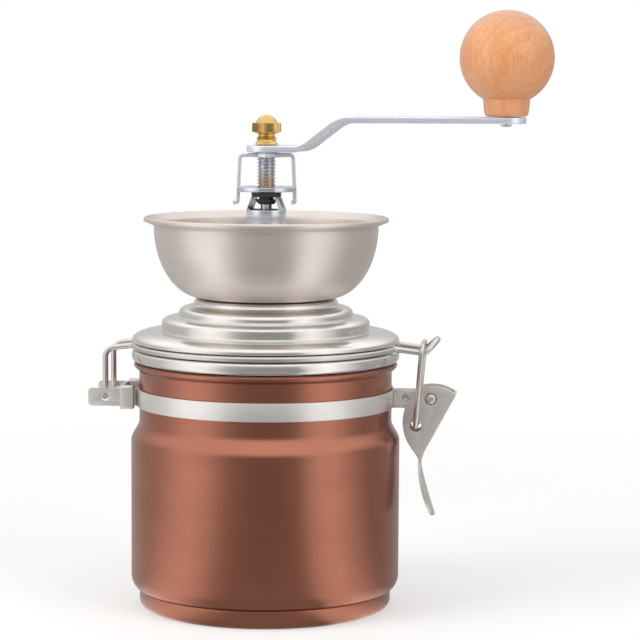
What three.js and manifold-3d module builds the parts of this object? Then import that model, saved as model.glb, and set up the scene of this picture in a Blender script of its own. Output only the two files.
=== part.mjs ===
// Manual coffee grinder: a clip-lid canister with a hopper, a crank and a conical burr mill.
// Millimetres, +Z up. The origin is the centre of the canister's foot. The hinge lies at -X, the latch at +X.
import * as THREE from 'three';
import { mergeVertices } from 'three/addons/utils/BufferGeometryUtils.js';
import Module from 'manifold-3d';

const manifold = await Module();
manifold.setup();

// Clearances
const fit = 0.3; // between pieces that bear on each other
const play = 0.25; // radial, between a turning shaft and its hole
const past = 1; // how far a cutting shape reaches beyond what it cuts
const weldDistance = 1e-4;

// Fineness of the turned and swept surfaces
const roundSides = 36;
const smallSides = 20;
const wireSides = 6;
const ringSteps = 18;
const bendSteps = 3;

// Canister
const canisterSheet = 0.8;
const bodyRadius = 50;
const neckInset = 3.05;
const neckRadius = bodyRadius - neckInset;
const footInset = 3.1;
const footRadius = bodyRadius - footInset;
const footHeight = 6.9;
const footEdge = 0.3;
const footRound = 2.8;
const cornerHeight = 4.9;
const bodyHeight = 50.2;
const shoulderHeight = 7.7;
const neckHeight = 18.2;
const flangeHeight = 3.4;
const flangeReach = 2.05;
const flangeRadius = neckRadius + flangeReach;
const flangeBead = 1.2;
const rimStep = 0.3;
const rimRadius = bodyRadius - rimStep;

const shellBottom = footHeight + fit;
const bodyBottom = shellBottom + cornerHeight;
const bodyTop = bodyBottom + bodyHeight;
const neckBottom = bodyTop + shoulderHeight;
const neckTop = neckBottom + neckHeight;
const mouth = neckTop + flangeHeight;
const mouthRadius = neckRadius - canisterSheet;

// Band round the neck, with its ears
const bandSheet = 0.6;
const bandHeight = 6.7;
const bandRadius = neckRadius + fit;
const bandRise = 8.6;
const bandMiddle = neckBottom + bandRise;
const latchEarGap = 5.6;
const latchEarOut = latchEarGap / 2 + bandSheet;
const hingeEarGap = 18.8;
const hingeEarOut = hingeEarGap / 2 + bandSheet;

// Hinge clips and bracket
const clipSheet = 0.7;
const clipClear = 1.15;
const clipLength = 4.9;
const clipStart = neckRadius + clipClear;
const clipEnd = clipStart + clipLength;
const hingeEarEnd = clipEnd - fit;
const plateSheet = 0.9;
const plateInside = hingeEarOut + fit;
const plateOutside = plateInside + plateSheet;
const plateClear = 1.85;
const plateStart = neckRadius + plateClear;
const hingeStandoff = 9.1;
const hingeReach = rimRadius + hingeStandoff;
const plateNose = 6.2;
const plateEnd = hingeReach + plateNose;
const plateRound = 1.3;
const hingeHole = 1.5;
const pinRecess = 0.55;

// Lid wire
const wireRadius = 1.05;
const hingeWireY = plateInside - fit - wireRadius;
const loopWireY = 8.95;
const loopStandoff = 9.9;
const loopReach = rimRadius + loopStandoff;
const loopDrop = 1.4;
const eyeRise = THREE.MathUtils.degToRad(45);
const eyeStart = 1.2;
const eyeLength = 4.9;
const wireBend = 2;
const hingeWireBend = 3.6;
const hingeKneeDrop = 1.3;
const pinBend = 1.15;

// Gasket and liner under the lid
const gasketInset = 1.9;
const gasketWidth = 4;
const gasketOutside = rimRadius - gasketInset;
const gasketInside = gasketOutside - gasketWidth;
const gasketHeight = 1.5;
const gasketLip = 0.4;
const linerSheet = 0.7;

// Lid cover, from its rim to its top plate
const lidSheet = 0.8;
const rimInset = 0.8;
const rimBevel = 0.3;
const rimCrown = 0.2;
const rimHeight = 3.6;
const rimGap = 0.7;
const grooveRise = 5.5;
const ringInset = 0.9;
const ringRadius = rimRadius - ringInset;
const grooveLip = 0.4;
const domeInset = 0.1;
const domeRadius = rimRadius - domeInset;
const domeHeight = 4;
const domeRound = 4.6;
const domeLip = 0.8;
const domeCrown = 0.3;
const treadRise = 0.5;
const stepFillet = 0.8;
const lowStepInset = 11;
const lowStepHeight = 4.9;
const lowStepRound = 1.9;
const midStepInset = 6.2;
const midStepHeight = 3.4;
const midStepRound = 1.5;
const topStepInset = 5.5;
const topStepHeight = 2.8;
const topStepRound = 1;
const lowStepRadius = domeRadius - lowStepInset;
const midStepRadius = lowStepRadius - midStepInset;
const topStepRadius = midStepRadius - topStepInset;
const steps = [
  { radius: lowStepRadius, height: lowStepHeight, round: lowStepRound, tread: treadRise },
  { radius: midStepRadius, height: midStepHeight, round: midStepRound, tread: treadRise },
  { radius: topStepRadius, height: topStepHeight, round: topStepRound, tread: 0 },
];

const gasketBottom = mouth + fit;
const linerBottom = gasketBottom + gasketHeight + fit;
const linerTop = linerBottom + linerSheet;
const lidBottom = mouth + rimGap;
const ringHeight = lidBottom + grooveRise;
const grooveHalf = wireRadius + fit;
const grooveRadius = ringRadius - wireRadius - fit;
const domeBottom = ringHeight + grooveHalf;
const shelfHeight = domeBottom + domeHeight;
const lidTop = steps.reduce((height, step) => height + step.height + step.tread, shelfHeight);

// Hopper bowl
const bowlSheet = 0.8;
const bowlFootRadius = 24;
const bowlRadius = 41.6;
const bowlHeight = 26.5;
const lipReach = 3.8;
const lipRadius = bowlRadius + lipReach;
const lipHeight = 3.3;
const lipBead = 0.8;
const throatRadius = 9;

const bowlBottom = lidTop + fit;
const bowlRim = bowlBottom + bowlHeight + lipHeight;

// Bearing tower inside the bowl
const towerSheet = 0.9;
const towerFlange = 17;
const towerFootRadius = 10;
const towerNeckRadius = 7.4;
const towerCrownRadius = 5.6;
const towerFootRound = 1;
const towerTaper = 6;
const towerNeckHeight = 31.4;
const towerShoulder = 5;
const towerTurn = THREE.MathUtils.degToRad(-30);
const beanWindowWidth = 9;
const beanWindowHeight = 15;
const beanWindowSill = 3;
const beanWindows = 3;

const towerBottom = bowlBottom + bowlSheet + fit;
const towerNeck = towerBottom + towerNeckHeight;
const towerTop = towerNeck + towerShoulder;
const yokeTurn = THREE.MathUtils.degToRad(-12);
const yokeSill = 6.2;
const yokeHead = 4.3;

// Upper bush in the tower's crown, with a flange above that carries the wheel
const bushSleeve = 2.7;
const bushFlange = 5.5;
const bushFlangeHeight = 1.2;
const bushCollar = 3.9;
const bushTip = 2.9;
const bushCollarHeight = 1.8;

// Spindle with its thread and square
const shaftRadius = 2.1;
const threadRadius = 3.46;
const threadDepth = 0.55;
const threadPitch = 1.25;
const threadLength = 12.2;
const squareFlats = 4.6;
const squareLength = 5;
const studRadius = 2.3;
const studLength = 7.4;
const tailRadius = 2;
const tailPoint = 0.5;
const rootOverlap = 0.5;
const bushTop = towerTop + fit + bushFlangeHeight;
const threadBottom = bushTop + fit;
const threadTop = threadBottom + threadLength;
const squareTop = threadTop + squareLength;

// Adjusting wheel and lock bracket
const wheelRadius = 11.3;
const wheelSheet = 1.6;
const wheelNotches = 4;
const wheelNotchWidth = 5.6;
const wheelNotchRadius = 9;
const wheelEdge = 0.4;
const wheelBottom = bushTop + fit;
const bracketTurn = THREE.MathUtils.degToRad(7);
const bracketSheet = 1.7;
const bracketWidth = 5;
const bracketBoss = 5.5;
const bracketLegTop = 9.8;
const bracketLegBottom = 10.6;
const bracketLegSheet = 1.4;
const bracketBend = 1;
const bracketDrop = 17.6;
const bracketToe = 1.1;
const bracketHeel = 0.6;
const bracketBottom = threadTop + fit;
const bracketTop = bracketBottom + bracketSheet;

// Crank arm and knob
const crankTurn = THREE.MathUtils.degToRad(5);
const armSheet = 2.4;
const armWidth = 14.8;
const armReach = 88.4;
const armRise = 10.9;
const armSlope = THREE.MathUtils.degToRad(38);
const armLowerBend = 9;
const armUpperBend = 12;
const armBendStart = 11.2;
const armSkew = 0.25; // the bends lie a little askew across the strip
const armBottom = bracketTop + fit;
const armTop = armBottom + armSheet;
const knobSeat = armTop + armRise;
const pinShank = 1.6;
const pinHead = 2.1;
const pinHeadHeight = 0.85;
const pinEdge = 0.3;
const pinBody = 2.6;
const pinLength = 23;
const ballRadius = 17.5;
const ballRise = 21.5;
const knobNeckRadius = 8.1;
const knobNeckTop = 8.7;
const knobNeckRound = 1.1;

// Acorn nut
const nutBottom = armTop + fit;
const nutBaseRadius = 4.15;
const nutNeckRadius = 3.3;
const nutBeadRadius = 3.85;
const nutWaistRadius = 3;
const nutBeadRise = 2.3;
const nutBeadHalf = 0.5;
const nutNeckHeight = 3.85;
const nutCone = 0.95;
const nutGripRadius = 5.3;
const nutGripHeight = 3.2;
const nutDomeRadius = 4;
const nutDomeHeight = 3;
const nutTeeth = 22;
const nutToothDepth = 0.3;

// Mill under the lid
const screwCircle = 14;
const screwCount = 3;
const screwRadius = 1.4;
const screwHeadRadius = 2.6;
const screwHeadHeight = 1.5;
const screwEdge = 0.6;
const screwSlot = 0.7;
const housingFlangeRadius = 19.5;
const housingFlange = 3;
const housingRadius = 17.2;
const housingWall = 1.3;
const housingHeight = 27.8;
const spiderDrop = 4.8;
const spiderHeight = 3;
const spiderHub = 4.9;
const spiderArm = 3;
const housingFunnel = 4;
const lowerBush = 3.4;
const burrHeight = 11.7;
const burrTeeth = 24;
const burrToothDepth = 0.8;
const coneTeeth = 12;
const coneToothDepth = 0.9;
const burrBottomRadius = 13.4;
const burrTopRadius = 8.6;
const millGap = 1.1;
const burrTwist = THREE.MathUtils.degToRad(25);
const springRadius = 3.9;
const springWire = 0.5;
const springTurns = 4;
const washerRadius = 6;
const washerSheet = 1;
const nutFlats = 8;
const nutHeight = 3;
const tailEnd = 1;

const housingTop = lidTop - lidSheet - fit;
const housingBottom = housingTop - housingHeight;
const housingInside = housingRadius - housingWall;
const spiderTop = housingTop - spiderDrop;
const spiderBottom = spiderTop - spiderHeight;
const coneBottom = housingBottom;
const coneTop = coneBottom + burrHeight;
const washerTop = coneBottom - fit;
const burrNutTop = washerTop - washerSheet - fit;
const burrNutBottom = burrNutTop - nutHeight;

// Latch lever and bail
const leverSheet = 0.9;
const leverInside = latchEarOut + fit;
const leverOutside = leverInside + leverSheet;
const leverBeyondLoop = 2.2;
const leverReach = loopReach + leverBeyondLoop;
const earTip = 3.5;
const earEnd = leverReach + earTip;
const earRivetStandoff = 5.45;
const earRivetReach = neckRadius + earRivetStandoff;
const pivotRadius = 1.3;
const pivotHead = 1.85;
const headHeight = 0.8;
const earRivetHead = 1.45;
const earSpacer = 2.1;
const bailRadius = 1;
const latchRise = 0.4;
const bailHoleIn = 5.5;
const bailHoleDrop = 10.3;
const bailHoleRadius = 1.95;
const bailInset = 0.9;
const bailReach = loopReach - bailInset;
const bailSlack = 0.1;
const bailStub = 1;
const bailTopY = loopWireY + wireRadius + fit + bailRadius + bailSlack;
const bailEndY = leverOutside + fit + bailRadius + bailStub;
const bailBend = 2.5;
const bailEndBend = 1.4;

const latchMiddle = bandMiddle + latchRise;
const leverLength = 43.8;
const leverWebDrop = 0.6;
const leverWeb = 1;

// The lever's cheek, as shares of its length from the pivot: a corner each, round from the top left
const leverOutline = [
  [-0.0582, 0.1027], [0.0274, 0.1073], [0.1096, 0.0959], [0.2158, 0.0434],
  [-0.0776, -0.5023], [-0.0936, -0.532], [-0.1279, -0.4772], [-0.1712, -0.4132],
  [-0.2192, -0.3265], [-0.2374, -0.1986], [-0.2123, -0.0594], [-0.1233, 0.0457],
].map((corner) => corner.map((share) => share * leverLength));
const [leverTopCorner, leverBottomCorner] = [leverOutline[3], leverOutline[4]];

// The thumb tab from neck to tip: place and half-width and cup depth as shares of the length, then its lean
const tabStations = [
  { x: -0.0662, z: -0.468, half: 0.0731, cup: 0, lean: -0.2 },
  { x: -0.089, z: -0.5479, half: 0.0776, cup: 0.0068, lean: 0 },
  { x: -0.0731, z: -0.6507, half: 0.1142, cup: 0.0251, lean: 0.2 },
  { x: -0.0457, z: -0.7534, half: 0.1416, cup: 0.032, lean: 0.27 },
  { x: -0.0091, z: -0.879, half: 0.1461, cup: 0.0297, lean: 0.27 },
  { x: 0.0205, z: -0.9726, half: 0.1096, cup: 0.016, lean: 0.27 },
  { x: 0.0297, z: -1, half: 0.0594, cup: 0.0046, lean: 0.27 },
];

// Materials
function metal(color, roughness, metalness = 1) {
  return new THREE.MeshStandardMaterial({ color, roughness, metalness });
}
const copperLacquer = metal(0xa4644e, 0.38);
const brightSteel = metal(0xd8d4d0, 0.3);
const satinSteel = metal(0xc8bdb6, 0.42);
const platedSteel = metal(0xc9ccd3, 0.22);
const darkSteel = metal(0x55524e, 0.5);
const brass = metal(0xc9a24a, 0.28);
const burrSteel = metal(0x8a8a8c, 0.45);
const castZinc = metal(0x9c9da0, 0.55);
const rubber = metal(0xe6e3dc, 0.7, 0);
const beech = metal(0xe3ae7c, 0.55, 0);
const bushPlastic = metal(0x2e2b29, 0.6, 0);

// Welding, turning outward, and solids for joins and cuts
function weld(geometry) {
  const bare = geometry.clone();
  bare.deleteAttribute('normal');
  bare.deleteAttribute('uv');
  const merged = mergeVertices(bare, weldDistance);
  const corners = Array.from(merged.index.array);
  const kept = [];
  for (let i = 0; i < corners.length; i += 3) {
    const [a, b, c] = corners.slice(i, i + 3);
    if (a !== b && b !== c && c !== a) kept.push(a, b, c);
  }
  if (volume(merged.attributes.position, kept) < 0) kept.reverse();
  const welded = new THREE.BufferGeometry();
  welded.setAttribute('position', merged.attributes.position);
  welded.setIndex(kept);
  return welded;
}

function volume(position, corners) {
  const [a, b, c] = [new THREE.Vector3(), new THREE.Vector3(), new THREE.Vector3()];
  let total = 0;
  for (let i = 0; i < corners.length; i += 3) {
    a.fromBufferAttribute(position, corners[i]);
    b.fromBufferAttribute(position, corners[i + 1]);
    c.fromBufferAttribute(position, corners[i + 2]);
    total += a.dot(b.cross(c)) / 6;
  }
  return total;
}

function solid(geometry) {
  const welded = weld(geometry);
  return new manifold.Manifold(new manifold.Mesh({
    numProp: 3,
    vertProperties: new Float32Array(welded.attributes.position.array),
    triVerts: new Uint32Array(welded.index.array),
  }));
}

function shapeOf(body) {
  const mesh = body.getMesh();
  const geometry = new THREE.BufferGeometry();
  geometry.setAttribute('position', new THREE.BufferAttribute(mesh.vertProperties, 3));
  geometry.setIndex(new THREE.BufferAttribute(mesh.triVerts, 1));
  return geometry;
}

function joined(first, ...others) {
  return shapeOf(others.reduce((sum, other) => sum.add(solid(other)), solid(first)));
}

function cut(base, ...tools) {
  return shapeOf(tools.reduce((rest, tool) => rest.subtract(solid(tool)), solid(base)));
}

function common(first, second) {
  return shapeOf(solid(first).intersect(solid(second)));
}

// Basic shapes: turned, straight and bent
function turned(points, sides = roundSides) {
  const outline = [...points, points[0]].map(([r, z]) => new THREE.Vector2(Math.max(r, 0), z));
  return weld(new THREE.LatheGeometry(outline, sides).rotateX(Math.PI / 2));
}

function rod(radius, bottom, top, sides = smallSides) {
  return turned([[0, bottom], [radius, bottom], [radius, top], [0, top]], sides);
}

function crossRod(radius, halfLength, x, z, sides = smallSides) {
  return rod(radius, -halfLength, halfLength, sides).rotateX(Math.PI / 2).translate(x, 0, z);
}

function block(x0, x1, y0, y1, z0, z1) {
  const box = new THREE.BoxGeometry(x1 - x0, y1 - y0, z1 - z0);
  return box.translate((x0 + x1) / 2, (y0 + y1) / 2, (z0 + z1) / 2);
}

function raised(shape, bottom, top, curveSegments = 12) {
  return new THREE.ExtrudeGeometry(shape, { depth: top - bottom, bevelEnabled: false, curveSegments })
    .translate(0, 0, bottom);
}

function across(shape, halfWidth, curveSegments = 12) {
  return new THREE.ExtrudeGeometry(shape, { depth: 2 * halfWidth, bevelEnabled: false, curveSegments })
    .rotateX(Math.PI / 2)
    .translate(0, halfWidth, 0);
}

function regular(sides, radius, turn = 0) {
  const shape = new THREE.Shape();
  for (let i = 0; i < sides; i += 1) {
    const angle = turn + i * 2 * Math.PI / sides;
    const point = [radius * Math.cos(angle), radius * Math.sin(angle)];
    if (i === 0) shape.moveTo(...point);
    else shape.lineTo(...point);
  }
  return shape;
}

function arc(centreR, centreZ, radiusR, radiusZ, from, to, count) {
  const points = [];
  for (let i = 0; i <= count; i += 1) {
    const angle = THREE.MathUtils.degToRad(from + (to - from) * i / count);
    points.push([centreR + radiusR * Math.cos(angle), centreZ + radiusZ * Math.sin(angle)]);
  }
  return points;
}

// A path whose steps are its own knots, so that bends get short steps and runs get long ones
class KnotPath extends THREE.Curve {
  constructor(knots) {
    super();
    this.knots = knots;
  }

  getPoint(t, target = new THREE.Vector3()) {
    const at = t * (this.knots.length - 1);
    const first = Math.min(Math.floor(at), this.knots.length - 2);
    return target.lerpVectors(this.knots[first], this.knots[first + 1], at - first);
  }

  getPointAt(u, target) {
    return this.getPoint(u, target);
  }

  getTangentAt(u, target = new THREE.Vector3()) {
    const last = this.knots.length - 1;
    const here = Math.round(u * last);
    const back = this.knots[Math.max(here - 1, 0)];
    const ahead = this.knots[Math.min(here + 1, last)];
    return target.subVectors(ahead, back).normalize();
  }
}

function wire(knots, radius, sides = wireSides) {
  const path = new KnotPath(knots);
  const section = regular(sides, radius);
  return new THREE.ExtrudeGeometry(section, { steps: knots.length - 1, extrudePath: path });
}

function bent(before, corner, after, radius, count = bendSteps) {
  const back = before.clone().sub(corner).normalize();
  const ahead = after.clone().sub(corner).normalize();
  const half = Math.acos(THREE.MathUtils.clamp(back.dot(ahead), -1, 1)) / 2;
  const setback = radius / Math.tan(half);
  const start = corner.clone().addScaledVector(back, setback);
  const end = corner.clone().addScaledVector(ahead, setback);
  const centre = corner.clone().addScaledVector(back.add(ahead).normalize(), radius / Math.sin(half));
  const turn = Math.PI - 2 * half;
  const from = start.sub(centre);
  const axis = from.clone().cross(end.sub(centre)).normalize();
  const points = [];
  for (let i = 0; i <= count; i += 1) {
    points.push(from.clone().applyAxisAngle(axis, turn * i / count).add(centre));
  }
  return points;
}

const at = (x, y, z) => new THREE.Vector3(x, y, z);

function mirroredWire(half) {
  const other = half.slice(0, -1).map((knot) => at(knot.x, -knot.y, knot.z));
  return [...half, ...other.reverse()];
}

// Canister
function canisterShell() {
  const swell = bodyRadius - neckRadius;
  const shoulder = (radius, count) => {
    const points = [];
    for (let i = 0; i <= count; i += 1) {
      const wave = (1 + Math.cos(Math.PI * i / count)) / 2;
      points.push([radius - swell + swell * wave, bodyTop + shoulderHeight * i / count]);
    }
    return points;
  };
  const corner = bodyRadius - footRadius;
  const flare = flangeRadius - neckRadius;
  const outside = [
    ...arc(footRadius, bodyBottom, corner, cornerHeight, -90, 0, 4),
    ...shoulder(bodyRadius, 5),
    ...arc(neckRadius, mouth - flangeHeight / 3, flare, flangeHeight * 2 / 3, -90, 0, 3),
    ...arc(flangeRadius - flangeBead, mouth - flangeBead, flangeBead, flangeBead, 30, 90, 2),
  ];
  const insideCorner = canisterSheet / 2;
  const inside = [
    [mouthRadius, mouth],
    ...shoulder(bodyRadius - canisterSheet, 3).reverse(),
    [bodyRadius - canisterSheet, bodyBottom],
    [footRadius + corner / 2 - insideCorner, shellBottom + cornerHeight / 5],
    [footRadius - canisterSheet, shellBottom],
  ];
  return turned([...outside, ...inside]);
}

function canisterBase() {
  return turned([
    [0, 0],
    ...arc(footRadius - footRound, footRound, footRound, footRound, -90, 0, 3),
    [footRadius, footHeight - footEdge],
    [footRadius - footEdge, footHeight],
    [footRadius - canisterSheet, footHeight],
    [footRadius - canisterSheet, footRound],
    [footRadius - footRound, canisterSheet],
    [0, canisterSheet],
  ]);
}

// Band halves: a strap along the front or rear of the neck, with an ear at each end
function bandHalf(side) {
  const outer = bandRadius + bandSheet;
  const latchEarIn = latchEarOut - bandSheet;
  const hingeEarIn = hingeEarOut - bandSheet;
  const atLatch = (radius, y) => Math.asin(y / radius);
  const atHinge = (radius, y) => Math.PI - Math.asin(y / radius);
  const strap = new THREE.Shape();
  strap.moveTo(-hingeEarEnd, hingeEarOut);
  strap.absarc(0, 0, outer, atHinge(outer, hingeEarOut), atLatch(outer, latchEarOut), true);
  strap.lineTo(earEnd, latchEarOut);
  strap.lineTo(earEnd, latchEarIn);
  strap.absarc(0, 0, bandRadius, atLatch(bandRadius, latchEarIn), atHinge(bandRadius, hingeEarIn), false);
  strap.lineTo(-hingeEarEnd, hingeEarIn);
  const blank = raised(strap, bandMiddle - bandHeight / 2, bandMiddle + bandHeight / 2, 24);
  if (side < 0) blank.rotateX(Math.PI).translate(0, 0, 2 * bandMiddle);
  return cut(
    blank,
    crossRod(pivotRadius + fit, plateOutside, leverReach, latchMiddle, 12),
    crossRod(pivotRadius + fit, plateOutside, earRivetReach, latchMiddle, 12),
  );
}

function hingeBracket() {
  const half = bandHeight / 2;
  const webStart = clipEnd + fit;
  const side = new THREE.Shape();
  side.moveTo(-plateStart, -half);
  side.lineTo(-plateStart, half);
  side.lineTo(-plateEnd + plateRound, half);
  side.lineTo(-plateEnd, half - plateRound);
  side.lineTo(-plateEnd, -half + plateRound);
  side.lineTo(-plateEnd + plateRound, -half);
  const outline = across(side, plateOutside).translate(0, 0, bandMiddle);
  const low = bandMiddle - bandHeight;
  const high = bandMiddle + bandHeight;
  return cut(
    outline,
    block(-webStart, 0, -plateInside, plateInside, low, high),
    block(-plateEnd - past, -webStart - plateSheet, -plateInside, plateInside, low, high),
    crossRod(hingeHole, plateOutside + past, -hingeReach, bandMiddle, 12),
  );
}

function hingeClip(side) {
  const inside = hingeEarOut - bandSheet - fit;
  const outside = plateOutside + fit;
  const half = bandHeight / 2 + fit;
  const sleeve = cut(
    block(-clipEnd, -clipStart, inside - clipSheet, outside + clipSheet, -half - clipSheet, half + clipSheet),
    block(-clipEnd - past, -clipStart + past, inside, outside, -half, half),
  );
  sleeve.translate(0, 0, bandMiddle);
  return side > 0 ? sleeve : sleeve.rotateX(Math.PI).translate(0, 0, 2 * bandMiddle);
}

// Rivets lie along Y: a shank, two heads, and a wider middle where they hold pieces apart
function rivet(x, head, headInside) {
  const rounding = headHeight / 2;
  const spacerHalf = latchEarGap / 2 - fit;
  const half = [[0, headInside + headHeight], [head - rounding, headInside + headHeight]];
  half.push([head, headInside + rounding], [head, headInside], [pivotRadius, headInside]);
  half.push([pivotRadius, spacerHalf], [earSpacer, spacerHalf]);
  const mirrored = half.map(([r, y]) => [r, -y]).reverse();
  return turned([...half, ...mirrored], 14).rotateX(Math.PI / 2).translate(x, 0, latchMiddle);
}

// Lid
function lidCover() {
  const rim = [
    [rimRadius - rimInset, lidBottom],
    [rimRadius - rimBevel, lidBottom + rimHeight / 4],
    [rimRadius, lidBottom + rimHeight * 0.6],
    [rimRadius - rimCrown, lidBottom + rimHeight],
    [rimRadius - rimInset, ringHeight - grooveHalf],
  ];
  const groove = [
    [grooveRadius, ringHeight - grooveHalf],
    [grooveRadius, domeBottom],
    [domeRadius - grooveLip, domeBottom],
  ];
  const domeRise = domeHeight - domeLip - domeCrown;
  const dome = arc(domeRadius - domeRound, domeBottom + domeLip, domeRound, domeRise, 0, 90, 5);
  const stairs = [];
  let height = shelfHeight;
  steps.forEach((step) => {
    stairs.push([step.radius + stepFillet, height], [step.radius, height + stepFillet]);
    height += step.height;
    stairs.push(...arc(step.radius - step.round, height - step.round, step.round, step.round, 0, 90, 2));
    height += step.tread;
  });
  const upper = [...dome, ...stairs];
  const centre = [[throatRadius, lidTop], [throatRadius, lidTop - lidSheet]];
  const under = upper.filter((point, i) => i > 1 && i % 3 !== 1)
    .map(([r, z]) => [r - lidSheet, z - lidSheet]).reverse();
  const seat = [
    [grooveRadius - lidSheet, domeBottom],
    [grooveRadius - lidSheet, linerTop + fit],
    [rimRadius - lidSheet, linerTop + fit],
    [rimRadius - lidSheet, lidBottom + rimHeight / 2],
    [rimRadius - rimInset - rimCrown, lidBottom],
  ];
  return withScrewHoles(turned([...rim, ...groove, ...upper, ...centre, ...under, ...seat]));
}

function lidLiner() {
  const outer = rimRadius - lidSheet - fit;
  const inner = housingFlangeRadius + fit;
  return turned([[inner, linerBottom], [outer, linerBottom], [outer, linerTop], [inner, linerTop]]);
}

function gasket() {
  const top = gasketBottom + gasketHeight;
  return turned([
    [gasketInside, gasketBottom + gasketLip],
    [gasketInside + gasketLip, gasketBottom],
    [gasketOutside, gasketBottom],
    [gasketOutside, top],
    [gasketInside, top],
  ]);
}

function lidWire() {
  const cornerAt = (y) => Math.sqrt(ringRadius ** 2 - y ** 2);
  const hingeCorner = at(-cornerAt(hingeWireY), -hingeWireY, ringHeight);
  const loopCorner = at(cornerAt(loopWireY), -loopWireY, ringHeight);
  const from = Math.PI + Math.asin(hingeWireY / ringRadius);
  const to = 2 * Math.PI - Math.asin(loopWireY / ringRadius);
  const tangent = (angle) => at(-Math.sin(angle), Math.cos(angle), 0);
  const trunnion = at(-hingeReach, -plateOutside + pinRecess, bandMiddle);
  const foot = at(-hingeReach, -hingeWireY, bandMiddle);
  const knee = at(-hingeReach, -hingeWireY, ringHeight - hingeKneeDrop);
  const loopFoot = at(loopReach, -loopWireY, ringHeight - loopDrop);
  const rise = at(Math.cos(eyeRise), 0, Math.sin(eyeRise));
  const eye = loopFoot.clone().addScaledVector(rise, eyeStart);
  const clear = wireBend / ringRadius * 1.2;
  const ring = [];
  for (let i = 0; i <= ringSteps; i += 1) {
    const angle = from + clear + (to - from - 2 * clear) * i / ringSteps;
    ring.push(at(ringRadius * Math.cos(angle), ringRadius * Math.sin(angle), ringHeight));
  }
  const loop = [];
  const eyeSteps = 5;
  for (let i = 0; i <= eyeSteps; i += 1) {
    const angle = Math.PI / 2 * i / eyeSteps;
    const knot = eye.clone().addScaledVector(rise, eyeLength * Math.sin(angle));
    knot.y = -loopWireY * Math.cos(angle);
    loop.push(knot);
  }
  const intoRing = hingeCorner.clone().add(tangent(from));
  const outOfRing = loopCorner.clone().sub(tangent(to));
  return wire(mirroredWire([
    trunnion,
    ...bent(trunnion, foot, knee, pinBend, 2),
    ...bent(foot, knee, hingeCorner, hingeWireBend),
    ...bent(knee, hingeCorner, intoRing, wireBend),
    ...ring,
    ...bent(outOfRing, loopCorner, loopFoot, wireBend),
    ...bent(loopCorner, loopFoot, eye, wireBend, 2),
    ...loop,
  ]), wireRadius);
}

// Hopper bowl
function hopperBowl() {
  const top = bowlBottom + bowlHeight;
  const belly = bowlRadius - bowlFootRadius;
  const flare = lipRadius - bowlRadius;
  const outside = arc(bowlFootRadius, top, belly, bowlHeight, -90, 0, 8);
  const lip = [
    [bowlRadius + flare * 0.45, top + lipHeight * 0.22],
    [lipRadius, top + lipHeight * 0.65],
    [lipRadius - lipBead / 4, top + lipHeight * 0.9],
    [lipRadius - lipBead, top + lipHeight],
    [lipRadius - lipBead * 1.75, top + lipHeight * 0.85],
    [bowlRadius - lipBead / 3, top + lipHeight * 0.35],
  ];
  const inside = arc(bowlFootRadius, top, belly - bowlSheet, bowlHeight - bowlSheet, 0, -90, 6);
  const hole = [[throatRadius, bowlBottom + bowlSheet], [throatRadius, bowlBottom]];
  return withScrewHoles(turned([...outside, ...lip, ...inside, ...hole]));
}

// Three screws tie the tower, the bowl, the lid and the mill housing together
function screwPlaces() {
  return Array.from({ length: screwCount }, (_, i) => {
    const angle = towerTurn + Math.PI * (2 * i + 1) / screwCount;
    return [screwCircle * Math.cos(angle), screwCircle * Math.sin(angle)];
  });
}

function withScrewHoles(piece) {
  const holes = screwPlaces().map(([x, y]) => (
    rod(screwRadius + fit, housingBottom, bowlRim, 10).translate(x, y, 0)
  ));
  return cut(piece, ...holes);
}

function towerScrew([x, y]) {
  const seat = towerBottom + towerSheet + fit;
  const tip = housingTop - housingFlange;
  const top = seat + screwHeadHeight;
  const body = turned([
    [0, tip],
    [screwRadius, tip],
    [screwRadius, seat],
    [screwHeadRadius, seat],
    [screwHeadRadius, top - screwEdge],
    [screwHeadRadius - screwEdge, top],
    [0, top],
  ], 12);
  const half = screwSlot / 2;
  const slot = block(-screwHeadRadius, screwHeadRadius, -half, half, top - screwSlot, top + past);
  return cut(body, slot).translate(x, y, 0);
}

function bearingTower() {
  const foot = towerBottom + towerSheet;
  const outside = [
    [towerFlange, towerBottom],
    [towerFlange, foot],
    [towerFootRadius + towerFootRound, foot],
    [towerFootRadius, foot + towerFootRound],
    [towerNeckRadius, towerNeck - towerTaper],
    [towerNeckRadius, towerNeck],
    [towerCrownRadius, towerTop],
  ];
  const bore = bushSleeve + fit;
  const inside = [
    [bore, towerTop],
    [bore, towerTop - towerSheet],
    [towerCrownRadius - towerSheet, towerTop - towerSheet],
    [towerNeckRadius - towerSheet, towerNeck],
    [towerNeckRadius - towerSheet, towerNeck - towerTaper],
    [towerFootRadius - towerSheet, foot],
    [towerFootRadius - towerSheet, towerBottom],
  ];
  const shell = turned([...outside, ...inside], 24);
  const opening = new THREE.Shape();
  opening.moveTo(-yokeSill, towerNeck);
  opening.lineTo(yokeSill, towerNeck);
  opening.lineTo(yokeHead, towerTop - towerSheet);
  opening.lineTo(-yokeHead, towerTop - towerSheet);
  const upper = across(opening, towerNeckRadius + past).rotateZ(yokeTurn);
  const sill = foot + beanWindowSill;
  const reach = towerFootRadius + past;
  const beans = Array.from({ length: beanWindows }, (_, i) => {
    const arch = new THREE.Shape();
    const side = beanWindowWidth / 2;
    const spring = beanWindowHeight - side;
    arch.moveTo(-side, 0);
    arch.lineTo(side, 0);
    arch.lineTo(side, spring);
    arch.absarc(0, spring, side, 0, Math.PI, false);
    const slab = new THREE.ExtrudeGeometry(arch, { depth: reach, bevelEnabled: false, curveSegments: 4 });
    const turn = towerTurn + Math.PI / 2 + 2 * Math.PI * i / beanWindows;
    return slab.rotateX(Math.PI / 2).translate(0, 0, sill).rotateZ(turn);
  });
  return withScrewHoles(cut(shell, upper, ...beans));
}

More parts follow.
